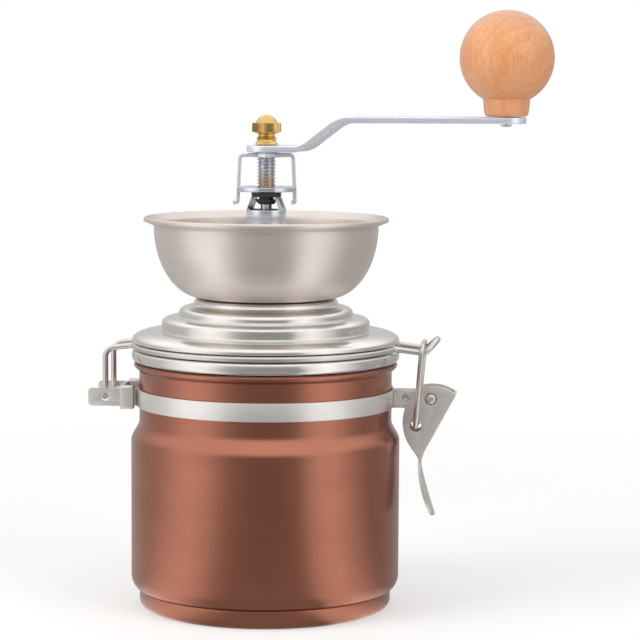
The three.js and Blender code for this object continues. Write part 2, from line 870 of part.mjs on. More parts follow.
function upperBush() {
  const seat = towerTop - towerSheet - fit;
  const bore = shaftRadius + play;
  return turned([
    [bore, seat - bushCollarHeight],
    [bushTip, seat - bushCollarHeight],
    [bushCollar, seat],
    [bushSleeve, seat],
    [bushSleeve, towerTop + fit],
    [bushFlange, towerTop + fit],
    [bushFlange, bushTop],
    [bore, bushTop],
  ], 20);
}

// Spindle: tail, shaft, screw thread, square and stud
function threadedRod(bottom, top, radius, depth, pitch, sides = 12) {
  const rows = Math.round((top - bottom) / pitch * 4);
  const places = [];
  const corners = [];
  for (let row = 0; row <= rows; row += 1) {
    const z = bottom + (top - bottom) * row / rows;
    for (let side = 0; side < sides; side += 1) {
      const angle = 2 * Math.PI * side / sides;
      const phase = (z / pitch + side / sides) % 1;
      const r = radius - depth * Math.abs(2 * phase - 1);
      places.push(r * Math.cos(angle), r * Math.sin(angle), z);
    }
  }
  const vertex = (row, side) => row * sides + side % sides;
  for (let row = 0; row < rows; row += 1) {
    for (let side = 0; side < sides; side += 1) {
      const [a, b] = [vertex(row, side), vertex(row, side + 1)];
      const [c, d] = [vertex(row + 1, side + 1), vertex(row + 1, side)];
      corners.push(a, b, c, a, c, d);
    }
  }
  const [low, high] = [places.length / 3, places.length / 3 + 1];
  places.push(0, 0, bottom, 0, 0, top);
  for (let side = 0; side < sides; side += 1) {
    corners.push(low, vertex(0, side + 1), vertex(0, side));
    corners.push(high, vertex(rows, side), vertex(rows, side + 1));
  }
  const geometry = new THREE.BufferGeometry();
  geometry.setAttribute('position', new THREE.Float32BufferAttribute(places, 3));
  geometry.setIndex(corners);
  return weld(geometry);
}

function squareBar(flats, bottom, top) {
  return raised(regular(4, flats / Math.SQRT2, crankTurn), bottom, top);
}

function spindle() {
  const tail = burrNutBottom - tailEnd;
  return joined(
    turned([
      [0, tail],
      [tailRadius - tailPoint, tail],
      [tailRadius, tail + tailPoint],
      [tailRadius, coneBottom],
      [shaftRadius, coneBottom],
      [shaftRadius, threadBottom + rootOverlap],
      [0, threadBottom + rootOverlap],
    ], 16),
    threadedRod(threadBottom, threadTop, threadRadius, threadDepth, threadPitch),
    squareBar(squareFlats, threadTop - rootOverlap, squareTop),
    rod(studRadius, squareTop - rootOverlap, squareTop + studLength, 16),
  );
}

// Adjusting wheel with notches for the lock bracket's legs
function adjustingWheel() {
  const top = wheelBottom + wheelSheet;
  const bore = threadRadius + play;
  const disc = turned([
    [bore, wheelBottom],
    [wheelRadius - wheelEdge, wheelBottom],
    [wheelRadius, wheelBottom + wheelEdge],
    [wheelRadius, top - wheelEdge],
    [wheelRadius - wheelEdge, top],
    [bore, top],
  ], 32);
  const half = wheelNotchWidth / 2;
  const notches = Array.from({ length: wheelNotches }, (_, i) => (
    block(wheelNotchRadius, wheelRadius + past, -half, half, wheelBottom - past, top + past)
      .rotateZ(bracketTurn + 2 * Math.PI * i / wheelNotches)
  ));
  return cut(disc, ...notches);
}

function lockBracket() {
  const half = bracketWidth / 2;
  const bottom = bracketTop - bracketDrop - bracketLegSheet;
  const outerTop = bracketLegTop + bracketLegSheet / 2;
  const outerBottom = bracketLegBottom + bracketLegSheet / 2;
  const footTop = bottom + bracketLegSheet;
  const strap = new THREE.Shape();
  strap.moveTo(outerTop - bracketBend, bracketTop);
  strap.lineTo(outerTop, bracketTop - bracketBend);
  strap.lineTo(outerBottom, footTop);
  strap.lineTo(outerBottom, bottom);
  strap.lineTo(outerBottom - bracketLegSheet - bracketHeel, bottom);
  strap.lineTo(outerBottom - bracketLegSheet, footTop);
  strap.lineTo(outerTop - bracketLegSheet, bracketBottom);
  strap.lineTo(-outerTop + bracketLegSheet, bracketBottom);
  strap.lineTo(-outerBottom + bracketLegSheet, bottom);
  strap.lineTo(-outerBottom - bracketToe, bottom);
  strap.lineTo(-outerBottom, footTop);
  strap.lineTo(-outerTop, bracketTop - bracketBend);
  strap.lineTo(-outerTop + bracketBend, bracketTop);
  const frame = joined(
    across(strap, half),
    raised(regular(4, bracketBoss), bracketBottom, bracketTop),
  ).rotateZ(bracketTurn);
  return cut(frame, squareBar(squareFlats + 2 * fit, bracketBottom - past, bracketTop + past));
}

// Crank arm: a flat strip with two bends and round ends
function crankArm() {
  const lowerRise = armLowerBend * (1 - Math.cos(armSlope));
  const lowerRun = armLowerBend * Math.sin(armSlope);
  const upperRise = armUpperBend * (1 - Math.cos(armSlope));
  const upperRun = armUpperBend * Math.sin(armSlope);
  const run = (armRise - lowerRise - upperRise) / Math.tan(armSlope);
  const upperStart = armBendStart + lowerRun + run + upperRun;
  const middle = armBottom + armSheet / 2;
  const upper = middle + armRise;
  const count = 4;
  const line = [[-armWidth, middle, 0]];
  for (let i = 0; i <= count; i += 1) {
    const turn = armSlope * i / count;
    const rise = armLowerBend * (1 - Math.cos(turn));
    line.push([armBendStart + armLowerBend * Math.sin(turn), middle + rise, turn]);
  }
  for (let i = count; i >= 0; i -= 1) {
    const turn = armSlope * i / count;
    const drop = armUpperBend * (1 - Math.cos(turn));
    line.push([upperStart - armUpperBend * Math.sin(turn), upper - drop, turn]);
  }
  line.push([armReach + armWidth, upper, 0]);
  const offset = (side) => line.map(([x, z, turn]) => (
    new THREE.Vector2(x - side * armSheet / 2 * Math.sin(turn), z + side * armSheet / 2 * Math.cos(turn))
  ));
  const strip = across(new THREE.Shape([...offset(-1), ...offset(1).reverse()]), armWidth);
  strip.applyMatrix4(new THREE.Matrix4().makeShear(0, 0, armSkew, 0, 0, 0));
  const plan = new THREE.Shape();
  const end = armWidth / 2;
  plan.absarc(0, 0, end, Math.PI / 2, Math.PI * 3 / 2, false);
  plan.absarc(armReach, 0, end, -Math.PI / 2, Math.PI / 2, false);
  const blank = common(strip, raised(plan, armBottom - past, knobSeat + past, 8)).rotateZ(crankTurn);
  const pinHole = rod(pinShank + fit, armBottom - past, knobSeat + past, 12).translate(...knobPlace());
  return cut(blank, squareBar(squareFlats + 2 * fit, armBottom - past, armTop + past), pinHole);
}

function knobPlace() {
  return [armReach * Math.cos(crankTurn), armReach * Math.sin(crankTurn), 0];
}

function knobPin() {
  const under = knobSeat - armSheet;
  const top = knobSeat + fit + pinLength;
  return turned([
    [0, under - fit - pinHeadHeight],
    [pinHead - pinEdge, under - fit - pinHeadHeight],
    [pinHead, under - fit - pinHeadHeight + pinEdge],
    [pinHead, under - fit],
    [pinShank, under - fit],
    [pinShank, knobSeat + fit],
    [pinBody, knobSeat + fit],
    [pinBody, top - 2 * pinEdge],
    [pinBody - 2 * pinEdge, top],
    [0, top],
  ], 14).translate(...knobPlace());
}

function woodenKnob() {
  const bottom = knobSeat + fit;
  const centre = bottom + ballRise;
  const bore = pinBody + play;
  const boreTop = bottom + pinLength + fit;
  const join = THREE.MathUtils.radToDeg(Math.acos(knobNeckTop / ballRadius));
  return turned([
    [bore, bottom],
    [knobNeckRadius - knobNeckRound, bottom],
    [knobNeckRadius - knobNeckRound / 4, bottom + knobNeckRound / 3],
    [knobNeckRadius, bottom + knobNeckRound],
    ...arc(0, centre, ballRadius, ballRadius, -join, 90, 11),
    [0, boreTop],
    [bore, boreTop],
  ], 24).translate(...knobPlace());
}

// Acorn nut: ringed neck, knurled grip and dome
function acornNut() {
  const coneTop = nutBottom + nutNeckHeight + nutCone;
  const gripTop = coneTop + nutGripHeight;
  const bead = nutBottom + nutBeadRise;
  const body = turned([
    [0, nutBottom],
    [nutBaseRadius, nutBottom],
    [nutNeckRadius, bead - nutBeadHalf],
    [nutBeadRadius, bead],
    [nutNeckRadius, bead + nutBeadHalf],
    [nutWaistRadius, nutBottom + nutNeckHeight],
    [nutGripRadius - nutToothDepth, coneTop],
    [nutWaistRadius, coneTop],
    [nutWaistRadius, gripTop],
    ...arc(0, gripTop, nutDomeRadius, nutDomeHeight, 0, 90, 4),
  ], nutTeeth);
  const grip = new THREE.Shape();
  for (let i = 0; i < 2 * nutTeeth; i += 1) {
    const angle = Math.PI * i / nutTeeth;
    const radius = nutGripRadius - (i % 2) * nutToothDepth;
    const point = [radius * Math.cos(angle), radius * Math.sin(angle)];
    if (i === 0) grip.moveTo(...point);
    else grip.lineTo(...point);
  }
  const bore = rod(studRadius + play, nutBottom - past, nutBottom + studLength + fit, nutTeeth);
  return cut(joined(body, raised(grip, coneTop, gripTop)), bore);
}

// Mill: housing with a spider, ring burr, cone burr and what holds them
function burrHousing() {
  const flangeBottom = housingTop - housingFlange;
  const shell = turned([
    [throatRadius, housingTop],
    [throatRadius, flangeBottom],
    [housingInside, flangeBottom - housingFunnel],
    [housingInside, housingBottom],
    [housingRadius, housingBottom],
    [housingRadius, flangeBottom],
    [housingFlangeRadius, flangeBottom],
    [housingFlangeRadius, housingTop],
  ], 24);
  const arms = Array.from({ length: screwCount }, (_, i) => (
    block(0, housingInside + housingWall / 2, -spiderArm / 2, spiderArm / 2, spiderBottom, spiderTop)
      .rotateZ(towerTurn + 2 * Math.PI * i / screwCount)
  ));
  const whole = joined(shell, ...arms, rod(spiderHub, spiderBottom, spiderTop));
  return withScrewHoles(cut(whole, rod(lowerBush + fit, spiderBottom - past, spiderTop + past, 16)));
}

function lowerBushRing() {
  const bore = shaftRadius + play;
  return turned([
    [bore, spiderBottom],
    [lowerBush, spiderBottom],
    [lowerBush, spiderTop],
    [bore, spiderTop],
  ], 16);
}

function toothedSection(radius, depth, teeth, turn) {
  const points = [];
  for (let i = 0; i < 2 * teeth; i += 1) {
    const angle = turn + Math.PI * (i + (i % 2 ? -0.6 : 0)) / teeth;
    const r = radius - (i % 2) * depth;
    points.push([r * Math.cos(angle), r * Math.sin(angle)]);
  }
  return points;
}

function loft(sections, heights) {
  const count = sections[0].length;
  const places = [];
  const corners = [];
  sections.forEach((section, row) => section.forEach(([x, y]) => places.push(x, y, heights[row])));
  const vertex = (row, i) => row * count + i % count;
  for (let row = 0; row + 1 < sections.length; row += 1) {
    for (let i = 0; i < count; i += 1) {
      corners.push(vertex(row, i), vertex(row, i + 1), vertex(row + 1, i + 1));
      corners.push(vertex(row, i), vertex(row + 1, i + 1), vertex(row + 1, i));
    }
  }
  const last = sections.length - 1;
  const [low, high] = [places.length / 3, places.length / 3 + 1];
  places.push(0, 0, heights[0], 0, 0, heights[last]);
  for (let i = 0; i < count; i += 1) {
    corners.push(low, vertex(0, i + 1), vertex(0, i), high, vertex(last, i), vertex(last, i + 1));
  }
  const geometry = new THREE.BufferGeometry();
  geometry.setAttribute('position', new THREE.Float32BufferAttribute(places, 3));
  geometry.setIndex(corners);
  return weld(geometry);
}

function toothedCone(bottomRadius, topRadius, depth, teeth, bottom, top, rows) {
  const sections = [];
  const heights = [];
  for (let row = 0; row <= rows; row += 1) {
    const share = row / rows;
    const radius = bottomRadius + (topRadius - bottomRadius) * share;
    sections.push(toothedSection(radius, depth, teeth, burrTwist * share));
    heights.push(bottom + (top - bottom) * share);
  }
  return loft(sections, heights);
}

function ringBurr() {
  const ring = rod(housingInside - fit, coneBottom, coneTop, 24);
  const slope = (burrBottomRadius - burrTopRadius) / burrHeight;
  return cut(ring, toothedCone(
    burrBottomRadius + slope * past + burrToothDepth,
    burrTopRadius - slope * past + burrToothDepth,
    burrToothDepth,
    burrTeeth,
    coneBottom - past,
    coneTop + past,
    1,
  ));
}

function coneBurr() {
  const blank = toothedCone(
    burrBottomRadius - millGap,
    burrTopRadius - millGap,
    coneToothDepth,
    coneTeeth,
    coneBottom,
    coneTop,
    4,
  );
  return cut(blank, rod(shaftRadius + fit, coneBottom - past, coneTop + past, 16));
}

function millSpring() {
  const bottom = coneTop + fit + springWire;
  const top = spiderBottom - fit - springWire;
  const perTurn = 8;
  const knots = [];
  for (let i = 0; i <= springTurns * perTurn; i += 1) {
    const angle = 2 * Math.PI * i / perTurn;
    const height = bottom + (top - bottom) * i / (springTurns * perTurn);
    knots.push(at(springRadius * Math.cos(angle), springRadius * Math.sin(angle), height));
  }
  return wire(knots, springWire, 5);
}

function burrWasher() {
  const bore = tailRadius + fit;
  const bottom = washerTop - washerSheet;
  return turned([[bore, bottom], [washerRadius, bottom], [washerRadius, washerTop], [bore, washerTop]], 16);
}

function burrNut() {
  const hex = regular(6, nutFlats / Math.sqrt(3));
  const hole = new THREE.Path();
  hole.absarc(0, 0, tailRadius + fit, 0, 2 * Math.PI, true);
  hex.holes.push(hole);
  return raised(hex, burrNutBottom, burrNutTop, 8);
}

// Latch lever: two side plates with a web, drawn together into a neck and a cupped thumb tab
function cupped(stations, scale, thickness, count = 4) {
  const rows = stations.length;
  const places = [];
  const corners = [];
  const layer = (side) => stations.forEach(({ x, z, half, cup, lean }) => {
    for (let i = 0; i <= count; i += 1) {
      const share = 2 * i / count - 1;
      const depth = scale * cup * share * share + side * thickness / 2;
      places.push(scale * x - depth * Math.cos(lean));
      places.push(scale * half * share);
      places.push(scale * z - depth * Math.sin(lean));
    }
  });
  layer(-1);
  layer(1);
  const width = count + 1;
  const vertex = (side, row, i) => (side * rows + row) * width + i;
  const quad = (a, b, c, d) => corners.push(a, b, c, a, c, d);
  for (let row = 0; row + 1 < rows; row += 1) {
    for (let i = 0; i < count; i += 1) {
      quad(vertex(0, row, i), vertex(0, row, i + 1), vertex(0, row + 1, i + 1), vertex(0, row + 1, i));
      quad(vertex(1, row, i), vertex(1, row + 1, i), vertex(1, row + 1, i + 1), vertex(1, row, i + 1));
    }
    quad(vertex(0, row, 0), vertex(0, row + 1, 0), vertex(1, row + 1, 0), vertex(1, row, 0));
    quad(vertex(0, row, count), vertex(1, row, count), vertex(1, row + 1, count), vertex(0, row + 1, count));
  }
  for (let i = 0; i < count; i += 1) {
    quad(vertex(0, 0, i), vertex(1, 0, i), vertex(1, 0, i + 1), vertex(0, 0, i + 1));
    const last = rows - 1;
    quad(vertex(0, last, i), vertex(0, last, i + 1), vertex(1, last, i + 1), vertex(1, last, i));
  }
  const geometry = new THREE.BufferGeometry();
  geometry.setAttribute('position', new THREE.Float32BufferAttribute(places, 3));
  geometry.setIndex(corners);
  return weld(geometry);
}

function latchLever() {
  const pivot = at(leverReach, 0, latchMiddle);
  const side = new THREE.Shape(leverOutline.map(([x, z]) => new THREE.Vector2(x, z)));
  const blank = across(side, leverOutside);
  const [topX, topZ] = leverTopCorner;
  const [bottomX, bottomZ] = leverBottomCorner;
  const hollow = new THREE.Shape();
  hollow.moveTo(-leverLength, topZ + leverLength);
  hollow.lineTo(topX - leverWeb, topZ + leverLength);
  hollow.lineTo(topX - leverWeb, topZ - leverWebDrop);
  hollow.lineTo(bottomX - leverWeb, bottomZ);
  hollow.lineTo(-leverLength, bottomZ);
  const tab = cupped(tabStations, leverLength, leverSheet);
  return cut(
    joined(cut(blank, across(hollow, leverInside)), tab).translate(pivot.x, pivot.y, pivot.z),
    crossRod(pivotRadius + fit, plateOutside, pivot.x, pivot.z, 12),
    crossRod(bailHoleRadius, plateOutside, pivot.x - bailHoleIn, pivot.z - bailHoleDrop, 12),
  );
}

function latchBail() {
  const drop = loopDrop * (bailReach - ringRadius) / (loopReach - ringRadius);
  const bar = ringHeight - drop + wireRadius + fit + bailRadius;
  const foot = [leverReach - bailHoleIn, latchMiddle - bailHoleDrop];
  const middle = at(bailReach, 0, bar);
  const shoulder = at(bailReach, -bailTopY, bar);
  const ankle = at(foot[0], -bailEndY, foot[1]);
  const end = at(foot[0], -leverOutside - fit, foot[1]);
  return wire(mirroredWire([
    end,
    ...bent(end, ankle, shoulder, bailEndBend),
    ...bent(ankle, shoulder, middle, bailBend),
    middle,
  ]), bailRadius, 8);
}

// Assembly
const grinder = new THREE.Group();

function add(name, geometry, material) {
  const mesh = new THREE.Mesh(weld(geometry), material.clone());
  mesh.geometry.computeVertexNormals();
  mesh.name = name;
  grinder.add(mesh);
}

add('canister_shell', canisterShell(), copperLacquer);
add('canister_base', canisterBase(), copperLacquer);
add('band_front', bandHalf(-1), brightSteel);
add('band_rear', bandHalf(1), brightSteel);
add('hinge_bracket', hingeBracket(), satinSteel);
add('hinge_clip_front', hingeClip(-1), satinSteel);
add('hinge_clip_rear', hingeClip(1), satinSteel);
add('ear_rivet', rivet(earRivetReach, earRivetHead, latchEarOut + fit), satinSteel);
add('lever_pivot', rivet(leverReach, pivotHead, leverOutside + fit), satinSteel);
add('latch_lever', latchLever(), satinSteel);
add('latch_bail', latchBail(), brightSteel);
add('lid_cover', lidCover(), brightSteel);
add('lid_liner', lidLiner(), brightSteel);
add('gasket', gasket(), rubber);
add('lid_wire', lidWire(), brightSteel);
add('hopper_bowl', hopperBowl(), satinSteel);
add('bearing_tower', bearingTower(), platedSteel);
add('upper_bush', upperBush(), bushPlastic);
screwPlaces().forEach((place, i) => add(`tower_screw_${i + 1}`, towerScrew(place), platedSteel));
add('burr_housing', burrHousing(), castZinc);
add('ring_burr', ringBurr(), burrSteel);
add('lower_bush', lowerBushRing(), bushPlastic);
add('mill_spring', millSpring(), brightSteel);
add('adjusting_wheel', adjustingWheel(), platedSteel);
add('spindle', spindle(), darkSteel);
add('cone_burr', coneBurr(), burrSteel);
add('burr_washer', burrWasher(), platedSteel);
add('burr_nut', burrNut(), platedSteel);
add('lock_bracket', lockBracket(), platedSteel);
add('crank_arm', crankArm(), platedSteel);
add('knob_pin', knobPin(), platedSteel);
add('wooden_knob', woodenKnob(), beech);
add('acorn_nut', acornNut(), brass);

export default grinder;
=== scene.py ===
"""The looks of a manual coffee grinder: a clip-lid canister with a hopper, a crank and a conical burr mill.

Lengths are in millimetres until a mesh is made, heights count from the canister's foot, and the names say
what each size is on the real thing. Turned pieces are spun from profiles, sheet pieces are cut from outlines,
and wires are swept along bent lines.
"""
import math

import bmesh
import bpy
from mathutils import Matrix, Quaternion, Vector


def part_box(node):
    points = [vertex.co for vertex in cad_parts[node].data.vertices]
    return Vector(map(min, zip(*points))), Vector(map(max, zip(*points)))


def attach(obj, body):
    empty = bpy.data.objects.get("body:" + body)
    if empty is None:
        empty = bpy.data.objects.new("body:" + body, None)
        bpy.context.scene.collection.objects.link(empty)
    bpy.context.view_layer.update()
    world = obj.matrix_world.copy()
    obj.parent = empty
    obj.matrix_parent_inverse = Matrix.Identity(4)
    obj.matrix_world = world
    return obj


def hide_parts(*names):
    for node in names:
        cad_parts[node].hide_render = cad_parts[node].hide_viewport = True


MM = 0.001
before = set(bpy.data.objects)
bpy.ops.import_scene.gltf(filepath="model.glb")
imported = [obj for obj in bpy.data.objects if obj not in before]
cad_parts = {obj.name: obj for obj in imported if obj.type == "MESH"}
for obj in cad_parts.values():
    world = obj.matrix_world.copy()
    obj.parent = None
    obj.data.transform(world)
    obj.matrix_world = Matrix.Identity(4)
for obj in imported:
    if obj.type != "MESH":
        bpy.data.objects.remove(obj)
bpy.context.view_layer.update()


def span(node):
    """The lowest and highest corner of a construction piece, in millimetres."""
    low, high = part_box(node)
    return low / MM, high / MM


# Sizes

FIT = 0.3
HAIRLINE = 0.05
SHEET = 0.8
ROUND = 192
WIRE_SIDES = 20

shell_low, shell_high = span("canister_shell")
BODY_R = shell_high.x
SHELL_Z = shell_low.z
MOUTH_Z = shell_high.z
FOOT_R = span("canister_base")[1].x
FOOT_ROUND = 2.8
NECK_R = 46.95
FLANGE_R = 49.0
CORNER_Z = SHELL_Z + 4.9
SHOULDER_Z = CORNER_Z + 50.2
NECK_Z = SHOULDER_Z + 7.7
FLARE_Z = MOUTH_Z - 3.4

band_low, band_high = span("band_front")
BAND_SHEET = 0.6
BAND_R = NECK_R + FIT
BAND_Z = (band_low.z + band_high.z) / 2
BAND_HALF = (band_high.z - band_low.z) / 2
LATCH_EAR = -band_high.y
EAR_END = band_high.x
HINGE_EAR_END = -band_low.x
HINGE_EAR = 9.4
WEB_SHEET = 0.9

hinge_low, hinge_high = span("hinge_bracket")
PLATE_OUT = hinge_high.y
PLATE_IN = PLATE_OUT - WEB_SHEET
PLATE_END = -hinge_low.x
PLATE_START = -hinge_high.x
HINGE_X = -58.8

lid_low, lid_high = span("lid_cover")
RIM_Z = lid_low.z
LID_Z = lid_high.z
RIM_R = lid_high.x
RING_Z = RIM_Z + 5.5
RING_R = RIM_R - 0.9
WIRE_R = 1.05
HINGE_WIRE_Y = PLATE_IN - FIT - WIRE_R
LOOP_WIRE_Y = 8.95
LOOP_X = 59.6
LOOP_DROP = 1.4

LATCH_X = 61.8
LATCH_Z = BAND_Z + 0.4
EAR_RIVET_X = 52.4
LEVER_OUT = 4.6
LEVER_SHEET = 0.9
BAIL_HOLE_X = LATCH_X - 5.5
BAIL_HOLE_Z = LATCH_Z - 10.3

BOWL_Z = span("hopper_bowl")[0].z
BOWL_RIM_Z = span("hopper_bowl")[1].z
LIP_R = span("hopper_bowl")[1].x
THROAT_R = 9.0

tower_low, tower_high = span("bearing_tower")
TOWER_SHEET = 0.9
WHEEL_Z = span("adjusting_wheel")[0].z
WHEEL_TOP = span("adjusting_wheel")[1].z
BRACKET_TOP = span("lock_bracket")[1].z
BRACKET_FOOT = span("lock_bracket")[0].z
BRACKET_SHEET = 1.7
ARM_Z = span("crank_arm")[0].z
ARM_SHEET = 2.4
ARM_TOP = ARM_Z + ARM_SHEET
ARM_WIDTH = 14.8
ARM_REACH = 88.4
ARM_RISE = span("crank_arm")[1].z - ARM_TOP
SHANK_FLATS = 4.6
NUT_Z = span("acorn_nut")[0].z
NUT_TOP = span("acorn_nut")[1].z
CRANK_TURN = math.radians(5)
BRACKET_TURN = math.radians(7)
YOKE_TURN = math.radians(-12)
KNOB_Z = span("wooden_knob")[0].z
KNOB_TOP = span("wooden_knob")[1].z
BALL_R = 17.5
KNOB_AT = Vector((ARM_REACH * math.cos(CRANK_TURN), ARM_REACH * math.sin(CRANK_TURN), 0))


# Lines and profiles

def arc(r, z, radius_r, radius_z, start, end, steps):
    """Points on an elliptic arc in the profile plane, angles in degrees."""
    turn = math.radians(end - start) / steps
    first = math.radians(start)
    return [(r + radius_r * math.cos(first + i * turn), z + radius_z * math.sin(first + i * turn))
            for i in range(steps + 1)]


def circle(radius, sides, at=(0, 0), tall=None):
    """Points round a circle, or round an oval where a second radius is given."""
    turns = [2 * math.pi * i / sides for i in range(sides)]
    return [(at[0] + radius * math.cos(a), at[1] + (tall or radius) * math.sin(a)) for a in turns]


def oblong(low_x, low_y, high_x, high_y):
    return [(low_x, low_y), (high_x, low_y), (high_x, high_y), (low_x, high_y)]


def flowing(points, steps=6):
    """A smooth line through the points, with its ends kept."""
    padded = [points[0], *points, points[-1]]
    line = []
    for a, b, c, d in zip(padded, padded[1:], padded[2:], padded[3:]):
        a, b, c, d = (Vector(p) for p in (a, b, c, d))
        for i in range(steps):
            t = i / steps
            line.append(0.5 * (2 * b + (c - a) * t + (2 * a - 5 * b + 4 * c - d) * t * t
                               + (3 * b - a - 3 * c + d) * t ** 3))
    line.append(Vector(points[-1]))
    return [tuple(p) for p in line]


def rounded(points, radii, steps=6):
    """A 3-D line with each inner corner turned to an arc of its own radius."""
    points = [Vector(p) for p in points]
    line = [points[0]]
    for before, corner, after, radius in zip(points, points[1:], points[2:], radii):
        back = (before - corner).normalized()
        ahead = (after - corner).normalized()
        half = back.angle(ahead) / 2
        if radius <= 0 or half > math.radians(89.5):
            line.append(corner)
            continue
        start = corner + back * (radius / math.tan(half))
        centre = corner + (back + ahead).normalized() * (radius / math.sin(half))
        end = corner + ahead * (radius / math.tan(half))
        spoke, last = start - centre, end - centre
        axis = spoke.cross(last).normalized()
        turn = math.pi - 2 * half
        line += [centre + Quaternion(axis, turn * i / steps) @ spoke for i in range(steps + 1)]
    line.append(points[-1])
    return line


def softened(outline, radius, steps=5):
    """A closed flat outline with its corners rounded."""
    count = len(outline)
    line = []
    for i, corner in enumerate(outline):
        before, after = outline[i - 1], outline[(i + 1) % count]
        size = radius[i] if isinstance(radius, (list, tuple)) else radius
        bend = rounded([(*before, 0), (*corner, 0), (*after, 0)], [size], steps)[1:-1]
        line += [(p.x, p.y) for p in bend]
    return line


def bar_section(width, height, radius):
    return softened(oblong(-width / 2, -height / 2, width / 2, height / 2), radius, 3)


def mirrored(half):
    return half + [Vector((p.x, -p.y, p.z)) for p in reversed(half[:-1])]


# Meshes

def linked(name, data):
    thing = bpy.data.objects.new(name, data)
    bpy.context.scene.collection.objects.link(thing)
    return thing


def piece_from(name, builder, smooth_angle=32):
    """Closes a bmesh in millimetres into a piece in metres, faces outward, crisp where it turns sharply."""
    bmesh.ops.remove_doubles(builder, verts=builder.verts, dist=1e-4)
    bmesh.ops.recalc_face_normals(builder, faces=builder.faces)
    if builder.calc_volume(signed=True) < 0:
        bmesh.ops.reverse_faces(builder, faces=builder.faces)
    bmesh.ops.scale(builder, vec=(MM, MM, MM), verts=builder.verts)
    mesh = bpy.data.meshes.new(name)
    builder.to_mesh(mesh)
    builder.free()
    mesh.shade_smooth()
    mesh.set_sharp_from_angle(angle=math.radians(smooth_angle))
    return linked(name, mesh)


def turned(name, profile, sides=ROUND, at=(0, 0), smooth_angle=32):
    """Spins a closed profile of (radius, height) points round the upright axis through a place."""
    builder = bmesh.new()
    rings = []
    for radius, height in profile:
        places = circle(radius, sides, at) if radius >= 1e-6 else [at]
        rings.append([builder.verts.new((x, y, height)) for x, y in places])
    for lower, upper in zip(rings, rings[1:] + rings[:1]):
        if len(lower) == 1 and len(upper) == 1:
            continue
        for i in range(sides):
            j = (i + 1) % sides
            corners = [lower[i % len(lower)], lower[j % len(lower)],
                       upper[j % len(upper)], upper[i % len(upper)]]
            builder.faces.new(list(dict.fromkeys(corners)))
    return piece_from(name, builder, smooth_angle)


def skin(builder, rings):
    """Walls from each ring of points to the next, and a cap on each end."""
    count = len(rings[0])
    for first, second in zip(rings, rings[1:]):
        for i in range(count):
            j = (i + 1) % count
            builder.faces.new((first[i], first[j], second[j], second[i]))
    builder.faces.new(list(reversed(rings[0])))
    builder.faces.new(rings[-1])


def sweep(builder, line, section, up=Vector((0, 0, 1))):
    """Sweeps a flat section along a line, turning it as little as it can, and closes both ends."""
    line = [Vector(p) for p in line]
    last = len(line) - 1
    tangents = [(line[min(i + 1, last)] - line[max(i - 1, 0)]).normalized() for i in range(last + 1)]
    side = up.cross(tangents[0])
    if side.length < 0.1:
        side = Vector((0, 1, 0)).cross(tangents[0])
    side.normalize()
    rings = []
    for i, (place, tangent) in enumerate(zip(line, tangents)):
        if i:
            side = tangents[i - 1].rotation_difference(tangent) @ side
        side = (side - tangent * side.dot(tangent)).normalized()
        rise = tangent.cross(side)
        rings.append([builder.verts.new(place + side * x + rise * y) for x, y in section])
    skin(builder, rings)


def wire(name, line, radius):
    builder = bmesh.new()
    sweep(builder, line, circle(radius, WIRE_SIDES))
    return piece_from(name, builder, 60)


def flat_plate(name, outlines, thickness, place, bevel=0.12):
    """A plate cut from closed outlines, the first outside and the others holes, laid out by a matrix."""
    curve = bpy.data.curves.new(name, "CURVE")
    curve.dimensions = "2D"
    curve.fill_mode = "BOTH"
    curve.extrude = thickness / 2 - bevel
    curve.bevel_depth = bevel
    curve.bevel_resolution = 2
    curve.offset = -bevel
    for outline in outlines:
        spline = curve.splines.new("POLY")
        spline.points.add(len(outline) - 1)
        for point, (x, y) in zip(spline.points, outline):
            point.co = (x, y, 0, 1)
        spline.use_cyclic_u = True
    holder = linked(name, curve)
    graph = bpy.context.evaluated_depsgraph_get()
    mesh = bpy.data.meshes.new_from_object(holder.evaluated_get(graph))
    bpy.data.objects.remove(holder)
    builder = bmesh.new()
    builder.from_mesh(mesh)
    bpy.data.meshes.remove(mesh)
    bmesh.ops.transform(builder, matrix=place, verts=builder.verts)
    return piece_from(name, builder)


def box_part(builder, low, high, bevel=0.15, steps=2):
    made = bmesh.ops.create_cube(builder, size=1)
    centre = (Vector(low) + Vector(high)) / 2
    size = Vector(high) - Vector(low)
    bmesh.ops.scale(builder, vec=size, verts=made["verts"])
    bmesh.ops.translate(builder, vec=centre, verts=made["verts"])
    edges = list({edge for vert in made["verts"] for edge in vert.link_edges})
    bmesh.ops.bevel(builder, geom=edges, offset=bevel, segments=steps, profile=0.5, affect="EDGES")


def join(name, pieces):
    """Several closed bodies kept as one piece."""
    builder = bmesh.new()
    for piece in pieces:
        builder.from_mesh(piece.data)
        bpy.data.objects.remove(piece)
    mesh = bpy.data.meshes.new(name)
    builder.to_mesh(mesh)
    builder.free()
    mesh.set_sharp_from_angle(angle=math.radians(32))
    return linked(name, mesh)


def baked(piece, smooth_angle=32):
    """Turns a piece with live modifiers into a plain mesh."""
    graph = bpy.context.evaluated_depsgraph_get()
    mesh = bpy.data.meshes.new_from_object(piece.evaluated_get(graph))
    piece.modifiers.clear()
    old = piece.data
    piece.data = mesh
    bpy.data.meshes.remove(old)
    mesh.shade_smooth()
    mesh.set_sharp_from_angle(angle=math.radians(smooth_angle))
    return piece


def carved(piece, cutter, operation="DIFFERENCE"):
    modifier = piece.modifiers.new("cut", "BOOLEAN")
    modifier.operation = operation
    modifier.solver = "EXACT"
    modifier.object = cutter
    baked(piece)
    bpy.data.objects.remove(cutter)
    return piece


def drill(radius, low, high, at=(0, 0)):
    return turned("drill", [(0, low), (radius, low), (radius, high), (0, high)], 24, at)


